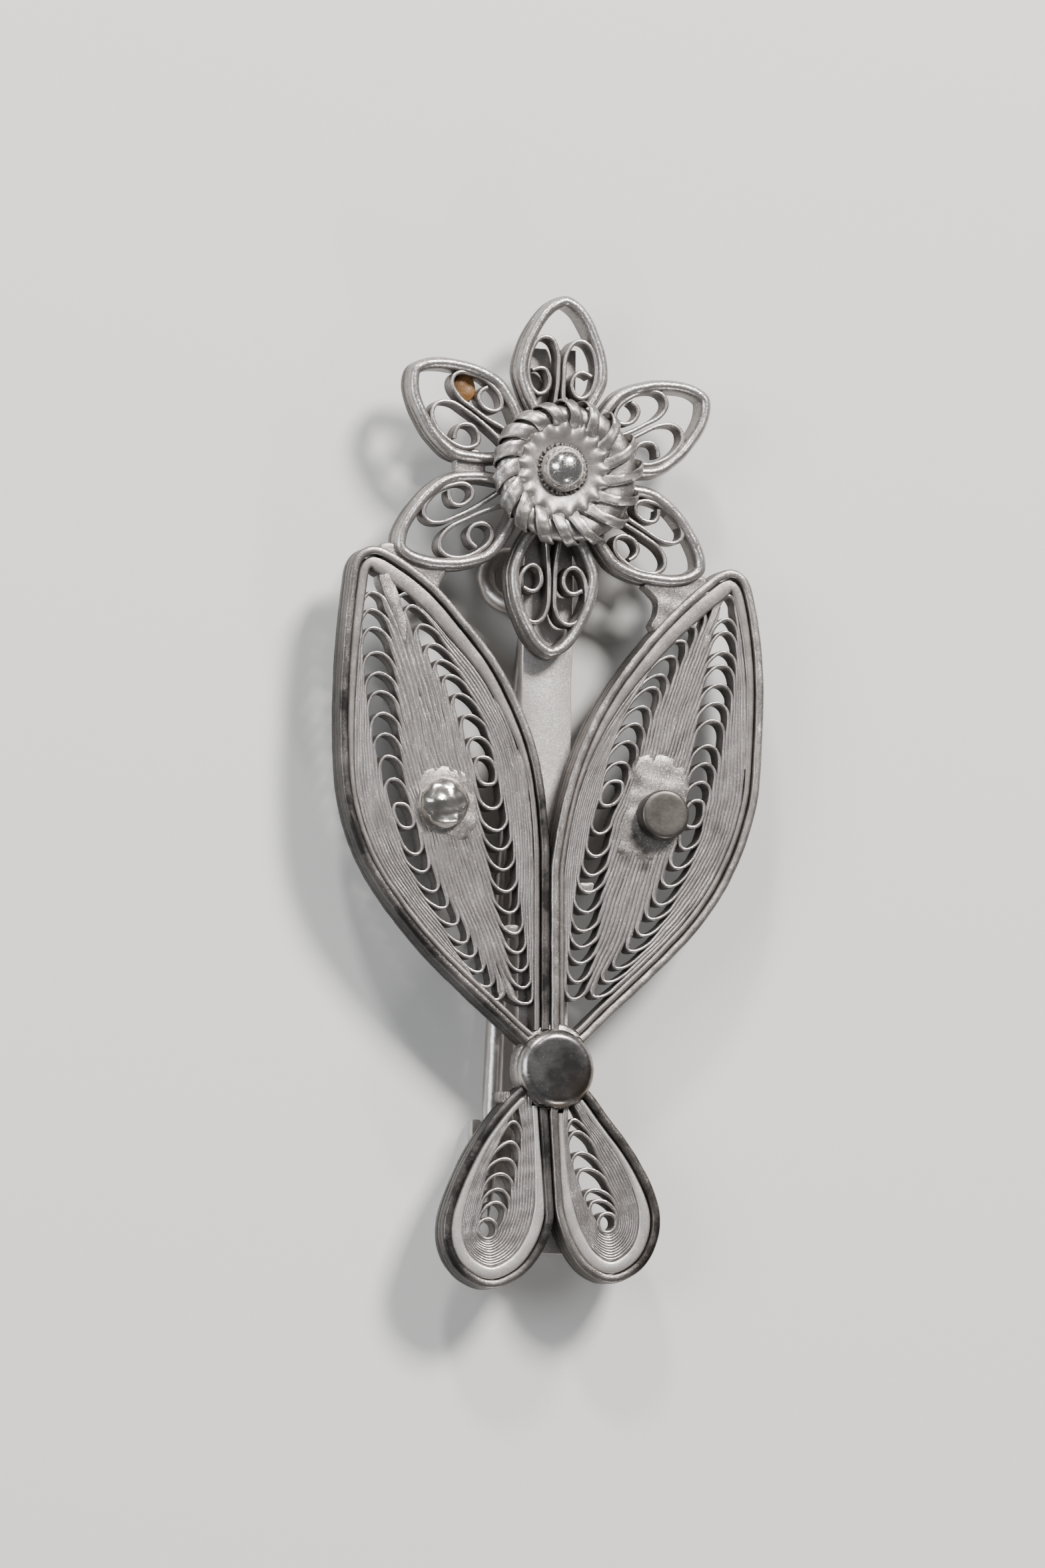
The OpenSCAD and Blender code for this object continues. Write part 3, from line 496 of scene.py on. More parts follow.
WIRE = silver(
    "wire_silver", (0.5, 0.473, 0.456), (0.58, 0.55, 0.53), (0.4, 0.32), metal=0.9, crystal=0.3,
    sparkle=0.04)


def leaf_outline(rows, tip):
    """Counter-clockwise outline of a leaf: its tip, down its left edge and up its right edge."""
    points = np.vstack([[tip], rows[:, [1, 0]], rows[::-1][:, [2, 0]]])
    return softened(smooth(points, 6, True), tip)


def lobe_outline(rows, foot):
    """Counter-clockwise outline of a lobe: down its left edge, its foot and up its right edge."""
    points = np.vstack([rows[:, [1, 0]], [foot], rows[::-1][:, [2, 0]]])
    return eased(smooth(points, 8, True), 0.45)


def liner_width(path):
    """Width of the strip inside a frame: 0.3 mm, wider towards a leaf's tip, and widest there on the side
    that faces the other leaf, and wider round a lobe's foot."""
    up = np.clip((path[:, 1] - 0.5) / 9, 0, 1)
    down = np.clip((-17.5 - path[:, 1]) / 4, 0, 1)
    facing = np.clip(3 * left_of(path, True)[:, 0] * np.sign(path[:, 0].mean()), 0, 1)
    return 0.3 + 0.22 * up + 0.3 * up * facing + 0.3 * down


def kept(path, joint, side, w):
    """An outline held to one side of a soldered joint: side -1 keeps it left, 1 right."""
    limit = joint[0] + joint[2] * (path[:, 1] - joint[1]) + side * (0.03 + w)
    return np.stack([side * np.maximum(side * path[:, 0], side * limit), path[:, 1]], 1)


def clear_of_knop(path, reach):
    """The open stretch of a closed path that stays outside a circle round the knop."""
    out = np.linalg.norm(path[:, :2] - KNOP, axis=1) > reach
    start = np.flatnonzero(out & ~np.roll(out, 1))[0]
    path, out = np.roll(path, -start, 0), np.roll(out, -start)
    return path[:int(np.argmin(out))]


def edge(path, side):
    """Height and x of the left (-1) or right (1) side of an outline, from the foot up."""
    top, foot, n = np.argmax(path[:, 1]), np.argmin(path[:, 1]), len(path)
    start, end = (top, foot) if side < 0 else (foot, top)
    line = path[(start + np.arange((end - start) % n + 1)) % n][::side]
    order = np.argsort(line[:, 1], kind="stable")
    return line[order, 1], line[order, 0]


def ribbon_room(whole, joint, side):
    """The outline that holds the ribbons, inside the frame and its liner, and its two sides."""
    inner = kept(inset(whole, (FRAME_W + liner_width(whole) + 0.07)[:, None]), joint, side, FRAME_W + 0.35)
    inner = eased(inner, 0.2)
    return inner, {s: edge(inner, s) for s in (-1, 1)}


def thickness(thin, band, e, extra):
    """A ribbon is thin where it turns over, as e nears 0, and along the innermost loop, and elsewhere
    it fills its band."""
    return thin + (band - thin) * np.clip(e * 2 - 1, 0, 1) * np.clip(extra, 0, 1)


def hairpin_fill(whole, joint, side, loops, seed):
    """Two columns of long closed ribbon loops, one inside the other. Loop k runs from its crown to its
    foot; at height y it lies beside the gap's middle line at the gap's half-width plus the ribbons'
    spacing times the number of younger loops inside it, and closes over the gap in a half ellipse."""
    rng = np.random.default_rng(seed)
    _, walls = ribbon_room(whole, joint, side)
    columns = [{k: np.array(v, float) for k, v in COLUMNS[name].items()} for name in loops]

    def middle(c, y):
        return np.interp(y, c["gap"][::-1, 0], c["gap"][::-1, 1])

    def half_gap(c, y):
        return np.interp(y, c["gap"][::-1, 0], c["gap"][::-1, 2])

    def younger(c, y):
        up = np.interp(y, np.r_[c["ring"][0], c["crowns"] - HALF_RIBBON], np.arange(len(c["crowns"]) + 1))
        down = np.interp(-y, np.r_[-c["ring"][1], HALF_RIBBON - c["feet"]], np.arange(len(c["feet"]) + 1))
        return np.where(y > c["ring"].mean(), up, down)

    def count(c, y):
        t = np.clip((y + 1) / 7, 0, 1)
        return len(c["feet"]) + (len(c["crowns"]) - len(c["feet"])) * t * t * (3 - 2 * t)

    def spacing(i, s, y):
        c = columns[i]
        own = count(c, y) - younger(c, y) + 0.5
        if (s > 0) == (i == 0):
            d = columns[1 - i]
            other = count(d, y) - younger(d, y) + 0.5
            room = np.abs(middle(d, y) - middle(c, y)) - half_gap(c, y) - half_gap(d, y)
            return np.maximum(room, 0.1) / (own + other)
        return np.maximum(np.abs(np.interp(y, *walls[s]) - middle(c, y)) - half_gap(c, y), 0.05) / own

    parts, turn, reach = [], np.linspace(0, np.pi / 2, 12), np.linspace(-11.5, 10.5, 400)
    fall = 1 - np.cos(turn)
    for i, c in enumerate(columns):
        a = full_turn(36)
        ring_y, ring_h = c["ring"].mean(), (c["ring"][0] - c["ring"][1]) / 2 - HALF_RIBBON
        y = ring_y + ring_h * np.sin(a)
        wide = np.sign(np.cos(a)) * np.abs(np.cos(a)) ** 0.72
        ring = np.stack([middle(c, y) + (half_gap(c, ring_y) + 0.04) * wide, y], 1)
        parts.append(carried(ring, RIBBON, 0.085, FILL_LOW, FILL_TOP + 0.04, True))
        for k in range(1, max(len(c["crowns"]), len(c["feet"])) + 1):
            has_top, has_foot = k <= len(c["crowns"]), k <= len(c["feet"])
            live = reach[count(c, reach) > k - 0.8]
            top = c["crowns"][k - 1] - HALF_RIBBON if has_top else live.max()
            foot = c["feet"][k - 1] + HALF_RIBBON if has_foot else live.min()
            b = np.clip(1.35 * half_gap(c, np.array([top - 0.5, foot + 0.5])), 0.35,
                        min(0.88, 0.3 * (top - foot)))
            legs = np.linspace(top - b[0], foot + b[1], max(int((top - foot - b.sum()) / 0.25), 3))[1:-1]
            y = np.r_[top - b[0] * (fall if has_top else turn / 1.5708), legs,
                      (foot + b[1] * (fall if has_foot else turn / 1.5708))[::-1]]
            e = np.r_[np.sin(turn) if has_top else np.ones(12), np.ones(len(legs)),
                      (np.sin(turn) if has_foot else np.ones(12))[::-1]]
            mid, gap, extra = middle(c, y), half_gap(c, y), np.maximum(k - younger(c, y), 0)
            sides, thick = {}, {}
            for s in (-1, 1):
                pitch = spacing(i, s, y)
                sides[s] = np.stack([mid + s * (gap * e + pitch * extra), y], 1)
                t = np.gradient(sides[s], axis=0)
                steep = np.abs(t[:, 1]) / np.maximum(np.linalg.norm(t, axis=1), 1e-9)
                sway = np.sin(y * rng.uniform(0.5, 1.2) + rng.uniform(0, 6.28))
                loose = 1.16 - 0.3 * np.clip(sway * 4 - 3, 0, 1)
                band = np.clip(loose * pitch * steep, 0.12, 0.5)
                thick[s] = thickness(0.155, band, e, extra)
            wave = 0.012 * np.sin(y * rng.uniform(0.8, 2.5) + rng.uniform(0, 6.28)) - rng.uniform(0, 0.03)
            high = FILL_TOP + wave + 0.04 * (1 - e)
            # Down one side and up the other; a loop that is open at an end starts and stops there
            closed = has_top and has_foot
            first = slice(None, None, -1) if has_top and not has_foot else slice(None)
            second = slice(-2, 0, -1) if closed else slice(1, None) if has_top else slice(-2, None, -1)
            path, half, tops = (np.concatenate([one[first], two[second]]) for one, two in (
                (sides[1], sides[-1]), (thick[1] / 2, thick[-1] / 2), (high, high)))
            parts.append(carried(path, RIBBON, half, FILL_LOW, tops, closed))
    return joined(parts)


def liner(whole, joint, side):
    """A second strip inside the frame, soldered against it with a fine dark line between them, up to
    the solder round the knop."""
    wide = liner_width(whole)[:, None]
    line = kept(inset(whole, FRAME_W + 0.04 + wide / 2), joint, side, FRAME_W + 0.19)
    line = clear_of_knop(even(eased(np.hstack([line, wide]), 0.2), 0.2, True), LINER_END)
    return carried(line[:, :2], LINER, line[:, 2] / 2, FILL_LOW, FILL_TOP + 0.04, False, 0.85)


def frame_ring(whole, joint, side):
    """The frame strip: its section carried along the outline's middle line, from the knop round to it."""
    line = even(eased(kept(inset(whole, FRAME_W / 2), joint, side, FRAME_W / 2), 0.15), 0.16, True)
    return carried(clear_of_knop(line, FRAME_END), FRAME, FRAME_W / 2, FRAME_Z, FACE_Z, False)


def lobe_fill(whole, joint, side, loops, seed):
    """Ribbons coiled round the lobe's eye. Below the eye loop k lies k spacings out from the eye along
    every ray; above it the loops rise beside the open gap and close over it at their crowns, and the
    outermost run on to the top."""
    rng = np.random.default_rng(seed)
    inner, walls = ribbon_room(whole, joint, side)
    eye, eye_r, gap_rows = np.array(loops["eye"]), loops["eye_r"], np.array(loops["gap"])
    crowns = np.array(loops["crowns"]) - HALF_RIBBON
    n, total = len(crowns), 10
    rays = np.arctan2(*(inner - eye).T[::-1])
    order = np.argsort(rays)
    reach = np.linalg.norm(inner - eye, axis=1)[order]
    a = full_turn(32)
    ring = eye + eye_r * np.stack([np.cos(a), np.sin(a)], 1)
    parts = [carried(ring, RIBBON, 0.09, FILL_LOW, FILL_TOP + 0.03, True)]
    for k in range(1, total + 1):
        a = np.linspace(-np.pi, 0, 48)
        pitch = (np.interp(a, rays[order], reach, period=2 * np.pi) - eye_r) / (total + 0.5)
        low_arc = np.concatenate([eye + ((eye_r + pitch * k)[:, None] * np.stack([np.cos(a), np.sin(a)], 1)),
                                  np.clip(1.12 * pitch, 0.12, 0.34)[:, None]], 1)
        if k <= n:
            turn = np.linspace(0, np.pi / 2, 12)
            b = min(0.75, 0.6 * (crowns[k - 1] - eye[1]))
            y = np.r_[crowns[k - 1] - b * (1 - np.cos(turn)), np.arange(crowns[k - 1] - b, eye[1], -0.2)[1:]]
            e = np.r_[np.sin(turn), np.ones(len(y) - 12)]
        else:
            y = np.arange(-15.1, eye[1], -0.2)
            e = np.ones(len(y))
        mid, gap = (np.interp(y, gap_rows[:, 0], gap_rows[:, column]) for column in (1, 2))
        inside = np.interp(y, np.r_[eye[1] + eye_r, crowns], np.arange(n + 1))
        extra = np.maximum(k - inside, 0)
        sides = {}
        for s in (-1, 1):
            pitch = np.maximum(np.abs(np.interp(y, *walls[s]) - mid) - gap, 0.08) / (total - inside + 0.5)
            band = np.clip(1.12 * pitch, 0.12, 0.34)
            sides[s] = np.stack([mid + s * (gap * e + pitch * extra), y, thickness(0.17, band, e, extra)], 1)
        right = sides[1][::-1]
        path = np.vstack([low_arc, right, sides[-1][1:]] if k <= n else [sides[-1], low_arc, right])
        path = even(path, 0.14, k <= n)
        high = FILL_TOP - rng.uniform(0, 0.02)
        parts.append(carried(path[:, :2], RIBBON, path[:, 2] / 2, FILL_LOW, high, k <= n))
    return joined(parts)


def petal_line(i):
    """Outline of petal i, pointing up, with its own width on either side."""
    _, tip, _, left, right = PETALS[i]
    side = np.stack([PETAL[:, 1] * PETAL_HALF_W, PETAL[:, 0] * tip / 9.3], 1)
    return smooth(np.vstack([side * [right, 1], [[0, tip]], (side * [-left, 1])[::-1], [[0, 1.6]]]), 8, True)


def at_petal(shell, i):
    """A shell whose plan points up, turned to petal i's place."""
    v, f, w = shell
    a = np.radians(-PETALS[i][0])
    turn = np.array([[np.cos(a), np.sin(a)], [-np.sin(a), np.cos(a)]])
    v[:, :2] = v[:, :2] @ turn + FLOWER
    return v, f, w


def petal_frame(i):
    """Frame strip of a petal, its section carried along the outline's middle line."""
    line = even(inset(petal_line(i), PETAL_W / 2), 0.13, True)
    return at_petal(carried(line, PETAL_WIRE, PETAL_W / 2, FRAME_Z, FACE_Z, True), i)


def petal_scrolls(i):
    """Two scroll ribbons back to back inside a petal's frame."""
    _, _, shift, left, right = PETALS[i]
    parts = []
    for s, share in ((-1, left), (1, right)):
        scroll = smooth(np.stack([s * SCROLL[:, 1] * share, SCROLL[:, 0] + shift], 1), 8, False)
        scroll = even(scroll, 0.12, False)
        parts.append(carried(scroll, RIBBON, 0.1, FILL_LOW + 0.05, FILL_TOP + 0.05, False))
    return at_petal(joined(parts), i)


def rosette():
    """A flat strip wound in seventeen turns round a ring. Its middle runs round a flattened circle,
    from near the flower's middle to the coil's outer edge and back, while it travels round the
    flower, and its flat side faces away from the ring's core. The outer edge bulges to the right,
    where the turns open out. A thinner uneven ring inside the turns is the solder that holds them."""
    turns, near = 17, 2.1
    t = full_turn(turns * 52)
    v = -turns * t
    rng = np.random.default_rng(7)
    knots = np.linspace(0, 2 * np.pi, turns + 1)
    loose, lifted, swung = (np.interp(t, knots, np.r_[r, r[0]]) for r in rng.normal(0, 1, (3, turns)))
    outer = 3.78 + 0.36 * np.cos(t) - 0.17 * np.sin(t) + 0.13 * np.cos(2 * t) + 0.05 * loose
    radial, upright = (outer - near) / 2, 0.5 + 0.04 * lifted
    u = t + 0.06 * np.cos(v) - 0.045 * np.sin(v) + 0.02 * swung
    outward = np.stack([np.cos(u), np.sin(u), 0 * u], 1)
    core = np.concatenate([FLOWER + outward[:, :2] * ((outer + near) / 2 + radial * np.cos(v))[:, None],
                           (4.97 + 0.08 * np.cos(v) + upright * np.sin(v))[:, None]], 1)
    normal = outward * (np.cos(v) / radial)[:, None] + np.array([0, 0, 1]) * (np.sin(v) / upright)[:, None]
    way = unit(np.roll(core, -1, 0) - np.roll(core, 1, 0))
    normal = unit(normal - way * (normal * way).sum(1, keepdims=True))
    across = np.cross(way, normal)
    half = 0.33 - 0.06 * np.cos(t) + 0.02 * loose - 0.05 * np.cos(v)
    # Across, out from the core, burnish: the underside's low value paints shade there
    section = np.array([
        (-1, -0.04, 0.1), (-1, 0.03, 0.9), (-0.86, 0.07, 1), (-0.3, 0.065, 0.6), (0.3, 0.065, 0.6),
        (0.86, 0.07, 1), (1, 0.03, 0.9), (1, -0.04, 0.1), (0.7, -0.075, 0), (-0.7, -0.075, 0)])
    points = (core[:, None, :] + across[:, None, :] * (section[:, 0] * half[:, None])[:, :, None]
              + normal[:, None, :] * section[None, :, 1, None])
    a = full_turn(28)
    thin, u = outer[::6, None], t[::6, None]
    r = (thin + near) / 2 + 0.78 * (thin - near) / 2 * np.cos(a)
    up = 4.9 + 0.38 * np.sin(a) + 0 * u
    filling = np.stack([FLOWER[0] + r * np.cos(u), FLOWER[1] + r * np.sin(u), up], 2)
    inside, faces, burnish_and_shade = grid_shell(filling, True, True, 0.75)
    inside[:, 2] += ripple(inside, 1.4, 0.05, 19)
    return joined([grid_shell(points, True, True, section[None, :, 2]), (inside, faces, burnish_and_shade)])


def puddle(outline, low, high, rise=0):
    """Solder that has run out to an outline: its wall goes up to a rounded shoulder, and its top swells
    by rise towards the middle. Each ring is the outline shrunk by a share towards its middle."""
    line = even(smooth(outline, 6, True), 0.12, True)
    middle = line.mean(0)
    inwards = np.linspace(0.93, 0, 14)
    share = np.r_[0, 1, 1, 0.97, inwards]
    up = np.r_[low, low, high - 0.07, high - 0.02, high + rise * (1 - inwards ** 2)]
    points = np.zeros((len(line), len(share), 3))
    points[:, :, :2] = middle + (line - middle)[:, None, :] * share[:, None]
    points[:, :, 2] = up
    return grid_shell(points, True, True, 0.3)


def wire(path, radius, sides=20):
    """A round wire: a circle carried along a path in space, square to its way."""
    t = unit(np.gradient(path, axis=0))
    across = unit(np.stack([-t[:, 1], t[:, 0], 0 * t[:, 0]], 1))
    up = np.cross(t, across)
    a = full_turn(sides)[None, :, None]
    circle = across[:, None, :] * np.cos(a) + up[:, None, :] * np.sin(a)
    return grid_shell(path[:, None, :] + radius[:, None, None] * circle, False, True, 0.4)


def pin_wire():
    """The pin's middle line: a short leg under the strip, one flat loop that drops by a wire's
    thickness, and the long leg that bows to the catch and tapers to its point."""
    def ease(t):
        return np.clip(t, 0, 1) ** 2 * (3 - 2 * np.clip(t, 0, 1))

    wire_r, loop_r, length, bow = 0.49, 1.33, 32, 2.6
    lean = np.degrees(np.arctan(1.7 * bow / length))
    a = np.linspace(0, 360 + lean, 97)
    loop = np.stack([-1.1 + loop_r * np.cos(np.radians(a)), 10.8 - loop_r * np.sin(np.radians(a)),
                     1.55 - 1.05 * ease((a - 60) / 180)], 1)
    t = np.r_[np.linspace(0.02, 0.8, 50), np.linspace(0.815, 0.93, 10), np.linspace(0.945, 1, 6)]
    leg = np.stack([loop[-1, 0] - bow * t * (1.7 - 0.7 * t), loop[-1, 1] - length * t,
                    0.5 + 0.525 * ease(t / 0.8)], 1)
    start = loop[0] + np.stack([np.zeros(12), np.linspace(6.4, 0.55, 12), np.zeros(12)], 1)
    thick = wire_r * np.interp(t, (0, 0.8, 0.93, 0.98, 1), (1, 1, 0.8, 0.3, 0.04))
    radius = np.r_[np.full(len(start) + len(loop), wire_r), thick]
    radius[:3] *= (0.75, 0.93, 0.99)
    return wire(np.vstack([start, loop, leg]), radius)


def bent_catch():
    """A strip bent round three corners, its edges along Y: the line of its thickness lies in X and Z."""
    bends = []
    for x, z, r, a0, a1 in ((-2.6, 0.7, 0.475, 180, 270), (0.4, 0.7, 0.475, 270, 360),
                            (0.45, 1.4, 0.425, 0, 90)):
        a = np.radians(np.linspace(a0, a1, 9))
        bends.append(np.stack([x + r * np.cos(a), z + r * np.sin(a)], 1))
    line = even(np.vstack([[(-3.075, 1.29)], *bends, [(-1.3, 1.825)]]), 0.12, False)
    v, f, w = carried(line, EDGED, 0.215, -19.3, -16.4, False)
    v = v[:, [0, 2, 1]]
    return v, turned_right(v, f), w


def backing_strip():
    """A flat strip with softened edges, leaning a little, its faces slightly wavy."""
    y = np.linspace(-22.75, 22.75, 240)
    a = np.radians(0.83)
    line = np.stack([0.05 + y * np.sin(a), -0.35 + y * np.cos(a)], 1)
    half = 1.33 + 0.012 * np.sin(y * 1.9) + 0.01 * np.sin(y * 0.7 + 1)
    return carried(line, EDGED, half, STRIP_Z, STRIP_Z + 0.7, False)


def dish():
    """A smooth dish of solder that runs out in seventeen tongues over the coil's inner ends, sunk
    round the ball, and a ring of small beads round the ball."""
    profile = np.array([
        (0, 4.3, 0), (1.86, 4.3, 0), (2.1, 4.5, 0.1), (2.4, 4.75, 0.2), (2.6, 4.95, 0.3),
        (2.58, 5.06, 0.4), (2.45, 5.18, 0.6), (2.32, 5.26, 0.7), (2.18, 5.31, 0.8), (2.03, 5.32, 0.9),
        (1.85, 5.3, 0.9), (1.65, 5.26, 0.8), (1.5, 5.23, 0.7), (1.42, 5.21, 0.6), (1.34, 5.19, 0.5),
        (1.25, 5.15, 0.3), (1.1, 5, 0), (0, 4.9, 0)])
    v, f, w = turned(FLOWER, profile, 204)
    x, y = (v[:, :2] - FLOWER).T
    r, u = np.hypot(x, y), np.arctan2(y, x)
    tongue = np.clip((r - 1.7) / 0.6, 0, 1) * np.cos(17 * u - 0.7 + 0.9 * np.sin(2 * u))
    grow = 1 + 0.05 * tongue + 0.012 * np.sin(3 * u + 1) * (r > 1.5)
    v[:, :2] = FLOWER + (v[:, :2] - FLOWER) * grow[:, None]
    v[:, 2] += np.where((v[:, 2] > 5.05) & (r > 1.4), ripple(v, 1.3, 0.02, 14) + 0.07 * tongue, 0)
    parts = [(v, f, w)]
    # Beads of no burnish take the darker frosted colour: painted shade round the ball
    beads, bead_ring, bead_r = 31, 1.24, 0.1
    for k in range(beads):
        a = 2 * np.pi * (k + 0.2 * np.sin(k * 2.1)) / beads
        middle = (FLOWER[0] + bead_ring * np.cos(a), FLOWER[1] + bead_ring * np.sin(a),
                  5.21 - 0.05 * np.clip(-np.cos(a - 0.4), 0, 1))
        parts.append(ball(middle, bead_r, 10, 7))
    return joined(parts)


def knop():
    """A thick disc with a hammered bevel and a nearly flat top."""
    profile = np.array([
        (0, 2.85, 0), (1.9, 2.85, 0), (1.97, 2.95, 0), (1.98, 3.6, 0), (1.99, 4.2, 0.1),
        (1.96, 4.33, 0.2), (1.88, 4.46, 0.3), (1.76, 4.57, 0.5), (1.64, 4.64, 0.8), (1.55, 4.66, 1),
        (1.45, 4.665, 1), (1.2, 4.668, 1), (0.9, 4.67, 1), (0.6, 4.672, 1), (0.3, 4.673, 1), (0, 4.674, 1)])
    v, f, w = turned(KNOP, profile, 96, 0.008, 11)
    v[:, 2] += np.where(v[:, 2] > 4.2, ripple(v, 2.6, 0.006, 4), 0)
    return v, f, w


def knop_solder():
    """Solder run round the knop's foot, reaching furthest towards the leaves."""
    profile = np.array([
        (0, 2.95, 0), (1.99, 2.95, 0), (2.03, 3.2, 0.2), (2.05, 3.6, 0.5), (2.04, 3.86, 0.8),
        (1.99, 4.02, 1), (1.9, 4.08, 1), (0, 4.08, 1)])
    v, f, w = turned(KNOP, profile, 120, 0.01, 5)
    u = np.arctan2(*(v[:, :2] - KNOP).T[::-1])
    grow = 1 + 0.13 * np.clip(np.sin(u), 0, 1) ** 2 + 0.015 * np.cos(4 * u + 0.8)
    v[:, :2] = KNOP + (v[:, :2] - KNOP) * grow[:, None]
    return v, f, w


def dome():
    """A rounded stud with small hammered facets, sunk in its solder."""
    a = np.linspace(0, np.pi / 2, 16)
    profile = np.vstack([[(0, 4.05, 1), (1.2, 4.05, 1), (1.27, 4.12, 1)],
                         np.stack([1.28 * np.cos(a) ** 0.85, 4.25 + 0.74 * np.sin(a), 1 + 0 * a], 1)])
    profile[-1, 0] = 0
    v, f, w = turned(DOME, profile, 80, 0.01, 3)
    v += ripple(v, 0.9, 0.02, 8)[:, None] * np.where(v[:, 2:] > 4.3, 1, 0)
    return v, f, w


def disc():
    """A flat-topped stud whose rim is worn round."""
    profile = np.array([
        (0, 4.05, 0), (1.24, 4.05, 0), (1.26, 4.2, 0.1), (1.26, 4.82, 0.3), (1.23, 4.91, 0.8),
        (1.17, 4.96, 1), (1.1, 4.98, 1), (1, 4.985, 1), (0.8, 4.985, 1), (0.6, 4.985, 1),
        (0.4, 4.985, 1), (0.2, 4.985, 1), (0, 4.985, 1)])
    return turned(DISC, profile, 72, 0.015, 9)


def put_form(name, whole, joint, side, fill, loops, seeds, silvers, spots, fill_spots=()):
    """Puts a leaf or lobe: its frame, the strip inside it and its filigree, each with its own seed and
    silver, and last the seed of the filigree's loops."""
    frame_shell, liner_shell = (raised(made(whole, joint, side)) for made in (frame_ring, liner))
    fill_shell = raised(fill(whole, joint, side, loops, seeds[3]))
    put(name + "_frame", frame_shell, silvers[0], (name,), (0.008, 1.3), spots, seeds[0])
    put(name + "_liner", liner_shell, silvers[1], (name,), (0.006, 1.6), seed=seeds[1])
    put(name + "_filigree", fill_shell, FILIGREE, (name,), (0.01, 0.9), fill_spots, seeds[2])


for i in range(6):
    petal = f"petal_{i + 1}"
    put(petal + "_frame", petal_frame(i), PETAL_SILVER, (petal,), (0.012, 1.6), seed=20 + i)
    put(petal + "_scrolls", petal_scrolls(i), FILIGREE, (petal,), (0.012, 1.2), seed=40 + i)
put("rosette_coil", rosette(), COIL_SILVER, ("rosette_ring",), (0.012, 0.5))
put("rosette_cup", dish(), SATIN, ("rosette_dish",))
put("rosette_ball", ball((*FLOWER, 5.2), 1.19, 56, 29), POLISHED, ("centre_ball",), (0.01, 0.8))
put("strip_behind", backing_strip(), FROSTED, ("backing_strip",), (0.015, 3))

# The frames' spots darken them as painted shade, most on the left leaf and on both lobes, away from the
# window lamp
put_form("leaf_left", leaf_outline(LEAF_LEFT, LEAF_LEFT_TIP), LEAF_JOINT, -1, hairpin_fill,
         ("left_outer", "left_inner"), (60, 68, 62, 31), (SHADED_FRAME, LINER_SILVER),
         [(-0.5, -1.5, 2.5, 1), (-0.4, -5, 3, 1), (-0.4, -9.5, 3, 1), (-3, -11.5, 2.5, 1), (-7.5, -7, 4, 1),
          (-10.6, -2, 4, 1), (-11.2, 4, 4, 0.9), (-11, 10, 2, 0.5)])
put_form("leaf_right", leaf_outline(LEAF_RIGHT, LEAF_RIGHT_TIP), LEAF_JOINT, 1, hairpin_fill,
         ("right_inner", "right_outer"), (61, 69, 63, 33), (FRAME_SILVER, LINER_SILVER),
         [(11, -2, 2, 0.2), (3, 5.5, 0.8, 0.5), (7.5, -7, 0.8, 0.3)],
         [(3.9, -3.3, 0.3, 0.8), (4.9, -3.7, 0.3, 0.8), (4.4, 1.6, 0.4, 0.7), (8.75, -1.75, 0.3, 0.7)])
put_form("lobe_left", lobe_outline(LOBE_LEFT, LOBE_LEFT_FOOT), LOBE_JOINT, -1, lobe_fill,
         LOBE_LOOPS["left"], (64, 70, 66, 35), (SHADED_FRAME, FROSTED),
         [(-1, -17, 4, 1), (-4, -19, 4, 1), (-5.8, -23, 3, 1), (-1, -22, 3, 0.9)])
put_form("lobe_right", lobe_outline(LOBE_RIGHT, LOBE_RIGHT_FOOT), LOBE_JOINT, 1, lobe_fill,
         LOBE_LOOPS["right"], (65, 72, 67, 37), (FRAME_SILVER, FROSTED),
         [(0, -19, 2, 0.4), (3, -17, 4, 1), (5.5, -22, 4, 1), (2, -25, 2, 0.6)])

put("knop_disc", knop(), KNOP_SILVER, ("knop",), (0.003, 0.9),
    [(1.3, -15, 0.7, 0.8), (1.9, -14.3, 0.5, 0.7), (0.2, -15.8, 0.6, 0.6)])
put("knop_solder", knop_solder(), SOLDER, (), (0.02, 0.9), seed=73)
put("dome_on_leaf", dome(), DOME_SILVER, ("dome_stud",), (0.02, 0.7))
put("disc_on_leaf", disc(), DISC_SILVER, ("disc_stud",), (0.003, 0.9))
put("pin_and_spring", pin_wire(), WIRE, ("spring_pin",))
put("pin_catch", bent_catch(), WIRE, ("catch",))
put("solder_runs", joined([
    raised(puddle(WEB_LEFT, 3.05, 3.9)), raised(puddle(WEB_RIGHT, 3.05, 3.9)),
    puddle(BRIDGE, 3.3, 3.85, 0.05), puddle(UNDER_DOME, 3.9, 3.99, 0.1),
    puddle(UNDER_DISC, 3.9, 3.99, 0.11), puddle(LOOP_LEFT, 3.2, 3.66, 0.02),
    puddle(LOOP_RIGHT, 3.2, 3.74, 0.02),
    raised(puddle(TONGUE_LEFT, 3.1, 4.04, 0.04)), raised(puddle(TONGUE_RIGHT, 3.1, 4, 0.03))]),
    SOLDER, (), (0.014, 1.3),
    [(3.85, -1.95, 0.3, 1), (4.3, -2.2, 0.32, 1), (4.6, -2.65, 0.28, 1), (4.85, -3, 0.25, 1),
     (3.6, -2.95, 0.2, 1), (4.4, -3.3, 0.2, 0.9), (5.1, -3.45, 0.2, 0.9), (4.35, 1, 0.3, 0.8),
     (4.55, 0.6, 0.25, 0.6), (-4.4, -2.4, 0.18, 1), (-4.6, -2.65, 0.15, 1)], 71)
put("residue_in_scroll", puddle(IN_SCROLL, 3.2, 3.5, 0.1), RESIDUE, (), (0.02, 0.5), seed=74)

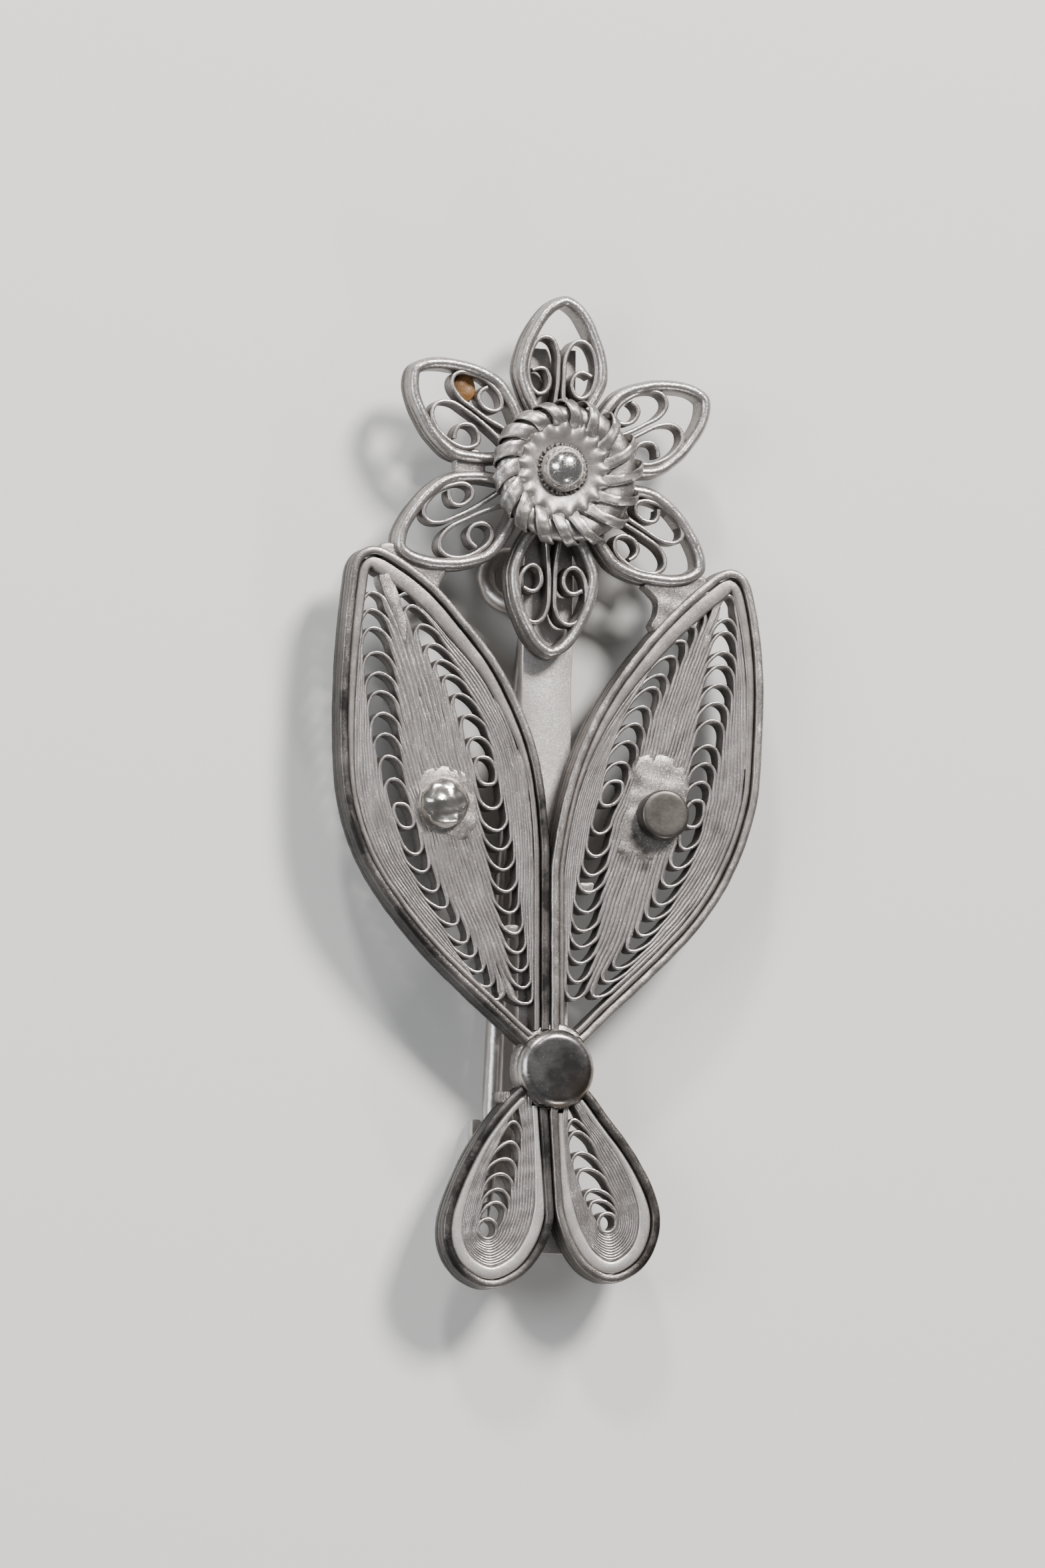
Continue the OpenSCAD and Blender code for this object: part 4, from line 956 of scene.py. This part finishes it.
floor = bpy.data.meshes.new("floor")
floor.from_pydata([(-2, -2, 0), (2, -2, 0), (2, 2, 0), (-2, 2, 0)], [], [(0, 1, 2, 3)])
floor_piece = bpy.data.objects.new("floor", floor)
bpy.context.scene.collection.objects.link(floor_piece)
paper = bpy.data.materials.new("pale_paper")
paper.use_nodes = True
paper.node_tree.nodes["Principled BSDF"].inputs["Base Color"].default_value = (0.72, 0.71, 0.69, 1)
paper.node_tree.nodes["Principled BSDF"].inputs["Roughness"].default_value = 0.8
floor.materials.append(paper)

world = bpy.data.worlds.new("studio")
world.use_nodes = True
world.node_tree.nodes["Background"].inputs["Color"].default_value = (0.95, 0.97, 1, 1)
world.node_tree.nodes["Background"].inputs["Strength"].default_value = 0.16
bpy.context.scene.world = world


def lamp(name, place, size, watts, colour=(1, 1, 1)):
    """A square soft light at a place in metres, turned to the middle of the pin."""
    light = bpy.data.lights.new(name, "AREA")
    light.size, light.energy, light.color = size, watts, colour
    piece = bpy.data.objects.new(name, light)
    piece.location = place
    piece.rotation_euler = (Vector((0, 0, 0.004)) - Vector(place)).to_track_quat("-Z", "Y").to_euler()
    bpy.context.scene.collection.objects.link(piece)


lamp("window", (0.14, 0.25, 0.32), 0.1, 3.2, (1, 0.97, 0.94))
lamp("left_fill", (-0.34, 0.05, 0.3), 0.2, 1.1, (0.93, 0.96, 1))
lamp("low_glint", (0.1, -0.3, 0.16), 0.04, 0.3)
lamp("top_glint", (-0.1, 0.3, 0.2), 0.04, 0.8)

# The photograph's angle: 19 degrees to the pin's left and 6 degrees below
view = Vector((-0.3238, -0.1045, 0.9403)).normalized()
right = Vector((0, 1, 0)).cross(view).normalized()
above = view.cross(right)
camera = bpy.data.objects.new("camera", bpy.data.cameras.new("camera"))
# Focal length and the chip's longer side in mm, and the height in view at the pin in metres
focal, chip, seen = 200, 36, 0.07814
camera.data.lens, camera.data.sensor_width = focal, chip
camera.data.clip_start = 0.01
place = Vector((-0.001669, 0.000184, 0.00425)) + view * (seen * focal / chip)
camera.matrix_world = Matrix.Translation(place) @ Matrix((right, above, view)).transposed().to_4x4()
bpy.context.scene.collection.objects.link(camera)
bpy.context.scene.camera = camera

bpy.context.view_layer.update()
